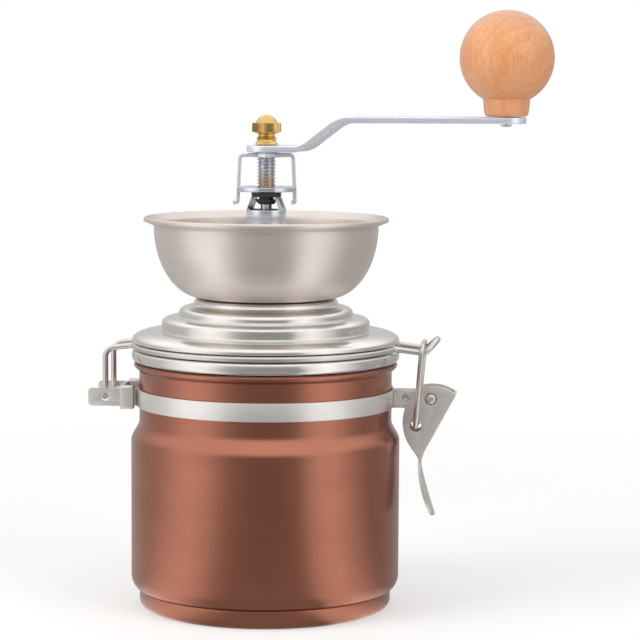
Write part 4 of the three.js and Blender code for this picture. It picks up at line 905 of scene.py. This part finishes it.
def tower():
    """A pressed and plated tower: flange, tapering skirt with arched bean windows, and a yoke at the top."""
    foot = tower_low.z + TOWER_SHEET
    neck = tower_low.z + 31.4
    top = tower_high.z
    outside = [(17.0, tower_low.z), (17.0, foot - 0.2), (16.8, foot)]
    outside += flowing([(11.4, foot), (10.6, foot + 0.4), (10.0, foot + 1.4), (8.7, neck - 16),
                        (7.6, neck - 6), (7.5, neck - 2), (7.42, neck - 0.3), (7.2, neck + 0.5)], 5)
    outside += flowing([(5.85, top - 0.8), (5.6, top - 0.2), (5.3, top)], 4)
    crown_z = top - TOWER_SHEET
    inside = [(3.0, top), (3.0, crown_z), (4.5, crown_z), (4.75, crown_z - 0.3), (6.4, neck + 0.2)]
    inside += flowing([(6.55, neck - 1), (6.65, neck - 6), (7.8, neck - 16), (9.1, foot + 1.4),
                       (9.1, tower_low.z)], 5)
    skirt = turned("bearing_tower_pressing", outside + inside, 96)
    # The windows run almost to the top and cut away the crown's front, so that the black bush flange shows
    # there as painted shade.
    sill, head, head_z = 6.2, 4.3, top - 0.15
    window = softened([(-sill, neck), (sill, neck), (head, head_z), (-head, head_z)], 0.5)
    through = flat_plate("cutter", [window], 30, Matrix.Rotation(math.pi / 2, 4, "X"), 0.01)
    through.data.transform(Matrix.Rotation(YOKE_TURN, 4, "Z"))
    carved(skirt, through)
    side, tall = 4.5, 15.0
    arch = [(-side, 0), (side, 0), *arc(0, tall - side, side, side, 0, 180, 12)]
    for i in range(3):
        slab = flat_plate("cutter", [arch], 12, upright(0, -6.2, foot + 3), 0.01)
        slab.data.transform(Matrix.Rotation(math.radians(60 + 120 * i), 4, "Z"))
        carved(skirt, slab)
    finish(skirt, "lid", ["bearing_tower"], SMOOTH_ZINC)

    # The bush's black flange on the crown is painted shade, a dark piece where the wheel's shadow falls on
    # the crown ring; the cone below it is the bush itself.
    low, high = span("upper_bush")
    bore, sleeve, seat, painted_shade_flange_z = 2.35, 2.7, crown_z - FIT, top + HAIRLINE
    bush = turned("shaft_bush", [
        (bore, low.z), (2.75, low.z), (3.0, low.z + 0.15), (high.x * 0.75, seat - 0.3), (high.x * 0.76, seat),
        (sleeve, seat), (sleeve, painted_shade_flange_z), (high.x - 0.2, painted_shade_flange_z), (high.x, top + 0.2),
        (high.x, high.z - 0.15), (high.x - 0.2, high.z), (bore, high.z)], 48)
    finish(bush, "lid", ["upper_bush"], NYLON)


# Pieces made by geometry nodes

def new_recipe(name, **sizes):
    """An empty geometry tree with named inputs: the tree, those inputs inside it, and their identifiers."""
    tree = bpy.data.node_groups.new(name, "GeometryNodeTree")
    ids = {label: tree.interface.new_socket(label, in_out="INPUT", socket_type="NodeSocket" + kind).identifier
           for label, kind in sizes.items()}
    tree.interface.new_socket("Mesh", in_out="OUTPUT", socket_type="NodeSocketGeometry")
    return tree, add(tree, "NodeGroupInput").outputs, ids


def made_by(tree, name, shape, material, settings, smooth_angle=32):
    """Ends a tree, sets its inputs by identifier, runs it once and keeps a plain mesh."""
    real = add(tree, "GeometryNodeRealizeInstances", shape)
    add(tree, "NodeGroupOutput", add(tree, "GeometryNodeSetMaterial", real, Material=material))
    holder = linked(name, bpy.data.meshes.new(name))
    modifier = holder.modifiers.new(name, "NODES")
    modifier.node_group = tree
    for identifier, value in settings.items():
        modifier[identifier] = value
    holder.update_tag()
    return baked(holder, smooth_angle)


def repeat_round(name, source, count, radius, start_angle, material):
    """Copies of a small mesh on a ring, each turned to face outward, joined into one mesh."""
    tree, given, ids = new_recipe(name + "_ring", Count="Int", Radius="Float", Start="Float")
    ring = add(tree, "GeometryNodeMeshCircle", given["Count"], given["Radius"], fill_type="NONE")
    step = add(tree, "Math", add(tree, "GeometryNodeInputIndex"), given["Count"], operation="DIVIDE")
    angle = add(tree, "Math", step, 2 * math.pi, operation="MULTIPLY")
    shape = add(tree, "GeometryNodeObjectInfo", source, transform_space="ORIGINAL").outputs["Geometry"]
    copies = add(tree, "GeometryNodeInstanceOnPoints", ring, Instance=shape,
                 Rotation=add(tree, "CombineXYZ", Z=angle))
    placed = add(tree, "GeometryNodeTransform", copies, Rotation=add(tree, "CombineXYZ", Z=given["Start"]))
    settings = {ids["Count"]: count, ids["Radius"]: radius * MM, ids["Start"]: start_angle}
    made = made_by(tree, name, placed, material, settings)
    bpy.data.objects.remove(source)
    return made


def screws():
    """Slotted cheese-head screws that hold tower, bowl, lid and mill together."""
    shank, head_r, head_h, edge, slot_half, slot_depth = 1.4, 2.6, 1.5, 0.5, 0.35, 0.7
    seat = tower_low.z + TOWER_SHEET + FIT
    top = seat + head_h
    low = span("tower_screw_1")[0].z
    screw = turned("screw", [(0, low), (shank, low), (shank, seat), (head_r, seat), (head_r, top - edge),
                             *arc(head_r - edge, top - edge, edge, edge, 0, 90, 4), (0, top)], 32)
    builder = bmesh.new()
    box_part(builder, (-3, -slot_half, top - slot_depth), (3, slot_half, top + 1), 0.01, 1)
    carved(screw, piece_from("slot", builder))
    ring = repeat_round("tower_screws", screw, 3, 14, math.radians(30), SMOOTH_ZINC)
    finish(ring, "lid", ["tower_screw_1", "tower_screw_2", "tower_screw_3"], SMOOTH_ZINC)


def thread_tube(radius, depth, pitch, low, high):
    """A screw thread: a cylinder whose radius follows a rounded wave along its helix."""
    sizes = {"Radius": radius, "Depth": depth, "Pitch": pitch, "Length": high - low}
    tree, given, ids = new_recipe("screw_thread", **dict.fromkeys(sizes, "Float"))
    sides, rows_per_turn = 48, 12
    rows = round((high - low) / pitch * rows_per_turn)
    blank = add(tree, "GeometryNodeMeshCylinder", Vertices=sides, Side_Segments=rows, Radius=given["Radius"],
                Depth=given["Length"])
    place = add(tree, "GeometryNodeInputPosition")
    x, y, z = add(tree, "SeparateXYZ", place).outputs
    full, round_axis, _ = around(tree, place)
    angle = add(tree, "Math", round_axis, 2 * math.pi, operation="DIVIDE")
    turns = add(tree, "Math", z, given["Pitch"], operation="DIVIDE")
    wave = add(tree, "Math", add(tree, "Math", turns, angle, operation="SUBTRACT"), 0.5, operation="PINGPONG")
    flat = add(tree, "MapRange", wave, 0.08, 0.42, 0.0, 1.0)
    cut = add(tree, "Math", flat, given["Depth"], operation="MULTIPLY")
    left = add(tree, "Math", full, cut, operation="SUBTRACT")
    share = add(tree, "Math", left, full, operation="DIVIDE")
    drawn_in = [add(tree, "Math", side, share, operation="MULTIPLY") for side in (x, y)]
    moved = add(tree, "CombineXYZ", *drawn_in, z)
    on_wall = add(tree, "Math", full, 0.5 * radius * MM, operation="GREATER_THAN")
    placed = add(tree, "GeometryNodeSetPosition", blank, on_wall, moved)
    settings = {ids[label]: value * MM for label, value in sizes.items()}
    tube = made_by(tree, "thread", placed, BRIGHT_THREAD, settings, 50)
    tube.data.transform(Matrix.Translation((0, 0, (low + high) / 2 * MM)))
    return tube


# Spindle and what sits on it

def spindle():
    """Tail and shaft below, the thread that the wheel runs on, a square shank and the stud for the nut."""
    low, high = span("spindle")
    shaft_r, tail_r, stud_r, edge, overlap = 2.1, 2.0, 2.3, 0.5, 0.2
    thread_r, depth, pitch = 3.46, 0.62, 1.25
    thread_low = WHEEL_Z - 0.05
    thread_high = BRACKET_TOP - BRACKET_SHEET - FIT
    square_low, square_top = thread_high - overlap, NUT_Z - HAIRLINE
    cone_z = span("cone_burr")[0].z
    shaft = turned("shaft", [(0, low.z), (tail_r - edge, low.z), (tail_r, low.z + edge), (tail_r, cone_z),
                             (shaft_r, cone_z), (shaft_r, thread_low + 0.3), (0, thread_low + 0.3)], 32)
    thread = thread_tube(thread_r, depth, pitch, thread_low, thread_high)
    shank = shank_bar("square_shank", SHANK_FLATS, 0.3, square_top - square_low,
                      (square_low + square_top) / 2, steps=3)
    stud = turned("stud", [(0, square_top - overlap), (stud_r, square_top - overlap), (stud_r, high.z - edge),
                           (stud_r - edge, high.z), (0, high.z)], 32)
    whole = join("threaded_spindle", [shaft, thread, shank, stud])
    finish(whole, "spindle", ["spindle"], BRIGHT_THREAD)


def wheel():
    """A stamped disc: pressed rim, four notches and a little play round the thread."""
    radius, bore, notch, notch_half = 11.3, 3.75, 9.0, 2.8
    half_angle = math.asin(notch_half / radius)
    steps = 12
    outline = []
    for i in range(4):
        middle = BRACKET_TURN + i * math.pi / 2
        start, end = middle + half_angle, middle + math.pi / 2 - half_angle
        outline += [(notch * math.cos(a), notch * math.sin(a))
                    for a in (middle - half_angle * 1.1, middle + half_angle * 1.1)]
        outline += [(radius * math.cos(a), radius * math.sin(a))
                    for a in (start + (end - start) * k / steps for k in range(steps + 1))]
    place = Matrix.Translation((0, 0, (WHEEL_Z + WHEEL_TOP) / 2))
    stamped = flat_plate("lock_wheel", [outline, circle(bore, 40)], WHEEL_TOP - WHEEL_Z, place, 0.25)
    finish(stamped, "adjuster", ["adjusting_wheel"], SMOOTH_ZINC)


def bracket():
    """A strap bent into an arch, one toe turned out and one in, square-holed to sit on the shank."""
    sheet, width, boss = 1.4, 5.0, 5.5
    top_z = BRACKET_TOP - BRACKET_SHEET / 2
    foot_z = BRACKET_FOOT + sheet / 2
    top_x, foot_x = 9.8, 10.6
    toe, heel = 1.8, 1.3
    knots = [(-foot_x - toe, foot_z), (-foot_x, foot_z), (-top_x, top_z), (top_x, top_z), (foot_x, foot_z),
             (foot_x - heel, foot_z)]
    line = rounded([(x, 0, z) for x, z in knots], [0.75, 1.3, 1.3, 0.75], 8)
    builder = bmesh.new()
    sweep(builder, line, bar_section(sheet, width, 0.3), up=Vector((0, 1, 0)))
    whole = piece_from("strap", builder)
    plate = softened([(boss, 0), (0, boss), (-boss, 0), (0, -boss)], 1.2)
    centre = flat_plate("boss", [plate], BRACKET_SHEET, Matrix.Translation((0, 0, top_z)), 0.25)
    carved(whole, centre, "UNION")
    whole.data.transform(Matrix.Rotation(BRACKET_TURN, 4, "Z"))
    carved(whole, shank_bar("hole", SHANK_FLATS + 2 * FIT, 0.2, 6, top_z, 0.01))
    finish(whole, "bracket", ["lock_bracket"], ZINC)


def crank():
    """A flat strip with two soft bends and round ends, riveted to the knob's pin."""
    middle = ARM_Z + ARM_SHEET / 2
    upper = middle + ARM_RISE
    slope, low_bend, high_bend, bend_start, skew = math.radians(38), 9.0, 12.0, 11.2, 0.25
    steps = 14
    tilts = [slope * i / steps for i in range(steps + 1)]
    low_line = [(bend_start + low_bend * math.sin(tilt), middle + low_bend * (1 - math.cos(tilt)), tilt)
                for tilt in tilts]
    run = (upper - low_line[-1][1] - high_bend * (1 - math.cos(slope))) / math.tan(slope)
    upper_start = low_line[-1][0] + run + high_bend * math.sin(slope)
    high_line = [(upper_start - high_bend * math.sin(tilt), upper - high_bend * (1 - math.cos(tilt)), tilt)
                 for tilt in reversed(tilts)]
    line = [(-ARM_WIDTH, middle, 0.0), *low_line, *high_line, (ARM_REACH + ARM_WIDTH, upper, 0.0)]

    def height_and_tilt(x):
        for (x0, z0, tilt0), (x1, z1, tilt1) in zip(line, line[1:]):
            if x <= x1:
                share = (x - x0) / (x1 - x0)
                return z0 + (z1 - z0) * share, tilt0 + (tilt1 - tilt0) * share
        return upper, 0.0

    half_w, half_t = ARM_WIDTH / 2, ARM_SHEET / 2
    section = softened(oblong(-half_t, -half_w, half_t, half_w), 0.45, 4)
    cap_steps = 16
    turns = [math.pi / 2 * i / cap_steps for i in range(cap_steps)]
    body_start, body_end, body_steps = bend_start - 3, upper_start + 3, 72
    stations = [(-half_w * math.cos(a), math.sin(a)) for a in turns]
    stations += [(0.0, 1.0)]
    stations += [(body_start + (body_end - body_start) * i / body_steps, 1.0) for i in range(body_steps + 1)]
    stations += [(ARM_REACH, 1.0)]
    stations += [(ARM_REACH + half_w * math.cos(a), math.sin(a)) for a in reversed(turns)]
    builder = bmesh.new()
    rings = []
    for x, share in stations:
        ring = []
        for thick, wide in section:
            y = wide * max(share, 0.02)
            z, tilt = height_and_tilt(x - skew * y)
            ring.append(builder.verts.new((x - thick * math.sin(tilt), y, z + thick * math.cos(tilt))))
        rings.append(ring)
    skin(builder, rings)
    arm = piece_from("crank_arm_strip", builder, 40)
    arm.data.transform(Matrix.Rotation(CRANK_TURN, 4, "Z"))
    carved(arm, shank_bar("hole", SHANK_FLATS + 2 * FIT, 0.2, 8, middle, 0.01))
    shank, head_r, body_r, edge = 1.6, 2.1, 2.6, 0.5
    carved(arm, drill(shank + FIT, upper - 5, upper + 5, KNOB_AT.xy))
    finish(arm, "crank", ["crank_arm"], ZINC)

    low, high = span("knob_pin")
    seat = upper - half_t - FIT
    pin = turned("knob_rivet_pin", [
        (0, low.z), (1.5, low.z), (head_r, low.z + edge), (head_r, seat), (shank, seat), (shank, KNOB_Z),
        (body_r, KNOB_Z), (body_r, high.z - 0.6), (2.0, high.z), (0, high.z)], 32, KNOB_AT.xy)
    finish(pin, "crank", ["knob_pin"], SMOOTH_ZINC)


def knob():
    """A turned ball that runs into a short straight neck, bored for its pin."""
    centre = KNOB_TOP - BALL_R
    neck_r, round_r, neck_top_r = 8.1, 1.1, 8.75
    meet = math.degrees(math.acos(neck_top_r / BALL_R))
    bore, bore_top = 2.85, KNOB_Z + 23.3
    profile = [(bore, KNOB_Z), *arc(neck_r - round_r, KNOB_Z + round_r, round_r, round_r, -90, -8, 8),
               (neck_r + 0.18, KNOB_Z + 1.9), (neck_r + 0.4, KNOB_Z + 4)]
    ball = arc(0, centre, BALL_R, BALL_R, -meet, 90, 60)
    profile += ball[:-1] + [(0, KNOB_TOP), (0, bore_top), (bore, bore_top)]
    body = turned("beech_ball_knob", profile, 128, KNOB_AT.xy, 40)
    finish(body, "knob", ["wooden_knob"], BEECH)


def nut():
    """A turned brass acorn nut: a flared foot, a sharp bead, a finely knurled grip and a dome."""
    drawn_height = 11.45
    rise = (NUT_TOP - NUT_Z) / drawn_height

    def at(points):
        return [(r, NUT_Z + z * rise) for z, r in points]

    foot = flowing(at([(0, 4.15), (0.25, 4.25), (1.2, 3.6), (1.9, 3.35)]), 5)
    waist = flowing(at([(2.95, 3.3), (3.3, 3.05), (3.7, 3.0), (4.0, 3.1), (4.65, 4.6)]), 5)
    grip_r = 5.15
    grip = at([(4.9, grip_r), (8.25, grip_r), (8.35, 4.9), (8.4, 4.2)])
    dome = flowing(at([(8.45, 4.1), (8.8, 3.9), (9.85, 3.25), (10.7, 2.3), (11.3, 0.9), (drawn_height, 0)]))
    bore, bore_top = 2.55, span("spindle")[1].z + FIT
    body = turned("nut_body", [(bore, NUT_Z), *foot, *at([(2.4, 3.9)]), *waist, *grip, *dome, (0, bore_top),
                               (bore, bore_top)], 96)
    ridge = 0.2
    section = [(-0.4, -ridge), (-0.4, ridge), (0.0, ridge * 0.6), (0.1, 0), (0.0, -ridge * 0.6)]
    low, high = grip[0][1], grip[1][1]
    builder = bmesh.new()
    sweep(builder, [(0, 0, z) for z in (low, low + 0.3, high - 0.3, high)], [(y, -x) for x, y in section])
    ridges = repeat_round("knurl", piece_from("tooth", builder), 66, grip_r, 0.0, BRASS)
    whole = join("knurled_acorn_nut", [body, ridges])
    finish(whole, "nut", ["acorn_nut"], BRASS)


# What stays as built, in its own finish

KEPT = {
    "burr_housing": CAST_ZINC, "ring_burr": GROUND_STEEL, "cone_burr": GROUND_STEEL, "lower_bush": NYLON,
    "mill_spring": DRAWN_WIRE, "burr_washer": ZINC, "burr_nut": ZINC,
}


def keep_as_built():
    for node, material in KEPT.items():
        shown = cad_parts[node]
        shown.data.materials.clear()
        shown.data.materials.append(material)


# Studio

def camera():
    """The photograph's view: a long lens a little above the rim, turned slightly towards the latch."""
    turn, pitch, roll = math.radians(5), math.radians(5.77), math.radians(0.335)
    place = Matrix.Rotation(turn, 3, "Z") @ Vector((20.1, -924.7, 200.5))
    data = bpy.data.cameras.new("camera")
    data.lens, data.sensor_width = 140.6, 36.0
    data.clip_start, data.clip_end = 0.05, 20
    eye = linked("camera", data)
    tilt = Matrix.Rotation(math.pi / 2 - pitch, 4, "X") @ Matrix.Rotation(roll, 4, "Z")
    eye.matrix_world = Matrix.Translation(place * MM) @ Matrix.Rotation(turn, 4, "Z") @ tilt
    bpy.context.scene.camera = eye


def lamp(name, place, size, watts):
    aim = Vector((0, 0, 0.11))
    data = bpy.data.lights.new(name, "AREA")
    data.shape = "RECTANGLE"
    data.size, data.size_y = size
    data.energy = watts
    light = linked(name, data)
    light.location = place
    light.rotation_mode = "QUATERNION"
    light.rotation_quaternion = (aim - Vector(place)).to_track_quat("-Z", "Y")
    light.visible_glossy = False


# What polished metal sees round the table: degrees from straight behind the camera, then brightness
SURROUND = [(-180, 0.6), (-130, 0.55), (-98, 0.6), (-84, 0.95), (-64, 1.25), (-48, 1.05), (-34, 0.55),
            (-24, 0.37), (0, 0.3), (28, 0.34), (35, 0.95), (53, 1.25), (70, 0.85), (90, 0.4), (140, 0.45),
            (180, 0.6)]
BRIGHTEST = 1.5
CAMERA_SIDE = math.radians(6.2)


def surround(tree, x, y):
    """Brightness all round: dark behind the camera, a tall soft box on each side, paler at the back."""
    ahead = add(tree, "Math", x, add(tree, "Math", y, -1, operation="MULTIPLY"), operation="ARCTAN2")
    azimuth = add(tree, "Math", ahead, CAMERA_SIDE, operation="SUBTRACT")
    turn = add(tree, "Math", azimuth, math.pi, -math.pi, operation="WRAP")
    ramp = add(tree, "ValToRGB", add(tree, "MapRange", turn, -math.pi, math.pi, 0, 1))
    elements = ramp.color_ramp.elements
    while len(elements) < len(SURROUND):
        elements.new(0.5)
    for element, (degrees, _) in zip(elements, SURROUND):
        element.position = (degrees + 180) / 360
    for element, (_, tone) in zip(elements, SURROUND):
        share = tone / BRIGHTEST
        element.color = (share, share, share, 1)
    return add(tree, "Math", ramp, BRIGHTEST, operation="MULTIPLY")


def mirror_rays(tree):
    """The ray's kinds, and whether it comes by way of metal or glass."""
    path = add(tree, "LightPath").outputs
    return path, add(tree, "Math", path["Is Glossy Ray"], path["Is Transmission Ray"], operation="MAXIMUM")


def floor():
    """A pale floor that keeps the shadow, white in the distance, and shows metal what the walls show it."""
    builder = bmesh.new()
    bmesh.ops.create_grid(builder, x_segments=1, y_segments=1, size=3000)
    ground = piece_from("floor", builder)
    pale, tree, place = new_finish("pale_floor")
    path, mirror = mirror_rays(tree)
    distance, _, _ = around(tree, place)
    x, y, _ = add(tree, "SeparateXYZ", place).outputs
    near = add(tree, "MapRange", distance, 0.12, 0.4, 0.36, 0.26)
    sides = add(tree, "Math", surround(tree, x, y), 0.95, operation="MULTIPLY")
    room = add(tree, "Math", sides, near, operation="MAXIMUM")
    tone = add(tree, "Mix", mirror, (1, 1, 1, 1), room, data_type="RGBA")
    far = add(tree, "MapRange", distance, 0.1, 0.5, 0.5, 1.0)
    seen = add(tree, "Math", path["Is Camera Ray"], far, operation="MULTIPLY")
    painted = add(tree, "BsdfPrincipled", Base_Color=linear("#F2F1EF"), Roughness=0.8, Specular_IOR_Level=0.1)
    share = add(tree, "Math", seen, mirror, operation="MAXIMUM")
    mixed = add(tree, "MixShader", share, painted, add(tree, "Emission", tone, 1.0))
    add(tree, "OutputMaterial", mixed)
    ground.data.materials.append(pale)


def walls():
    """White to the camera, a plain soft light for the rest, and bright and dark sides for metal to show."""
    world = bpy.data.worlds.new("studio")
    bpy.context.scene.world = world
    world.use_nodes = True
    tree = world.node_tree
    tree.nodes.clear()
    path, mirror = mirror_rays(tree)
    x, y, height = add(tree, "SeparateXYZ", add(tree, "TexCoord").outputs["Generated"]).outputs
    ceiling = add(tree, "MapRange", height, 0.2, 0.6, 0, 1)
    room = add(tree, "Mix", ceiling, surround(tree, x, y), (1.2, 1.2, 1.2, 1), data_type="RGBA")
    soft = add(tree, "Mix", mirror, (0.4, 0.4, 0.4, 1), room, data_type="RGBA")
    shown = add(tree, "Mix", path["Is Camera Ray"], soft, (1, 1, 1, 1), data_type="RGBA")
    add(tree, "OutputWorld", add(tree, "Background", shown, 1.0))


camera()
canister()
band("front", -1)
band("rear", 1)
hinge()
rivet("ear_rivet_domed", EAR_RIVET_X, 1.45, -LATCH_EAR + 0.9, "ear_rivet", STRIP_STEEL)
rivet("lever_pivot_domed", LATCH_X, 1.85, LEVER_OUT + FIT, "lever_pivot", PIVOT_BRASS)
lever()
bail()
lid()
lid_wire()
bowl()
tower()
screws()
spindle()
wheel()
bracket()
crank()
knob()
nut()
keep_as_built()
floor()
walls()
lamp("left_softbox", (-1.1, -0.75, 0.6), (0.8, 1.3), 18)
lamp("right_softbox", (1.1, -0.9, 0.5), (0.7, 1.3), 13)
lamp("top_softbox", (0, -0.1, 1.5), (1.2, 1.2), 9)

view = bpy.context.scene.view_settings
view.view_transform = "Standard"
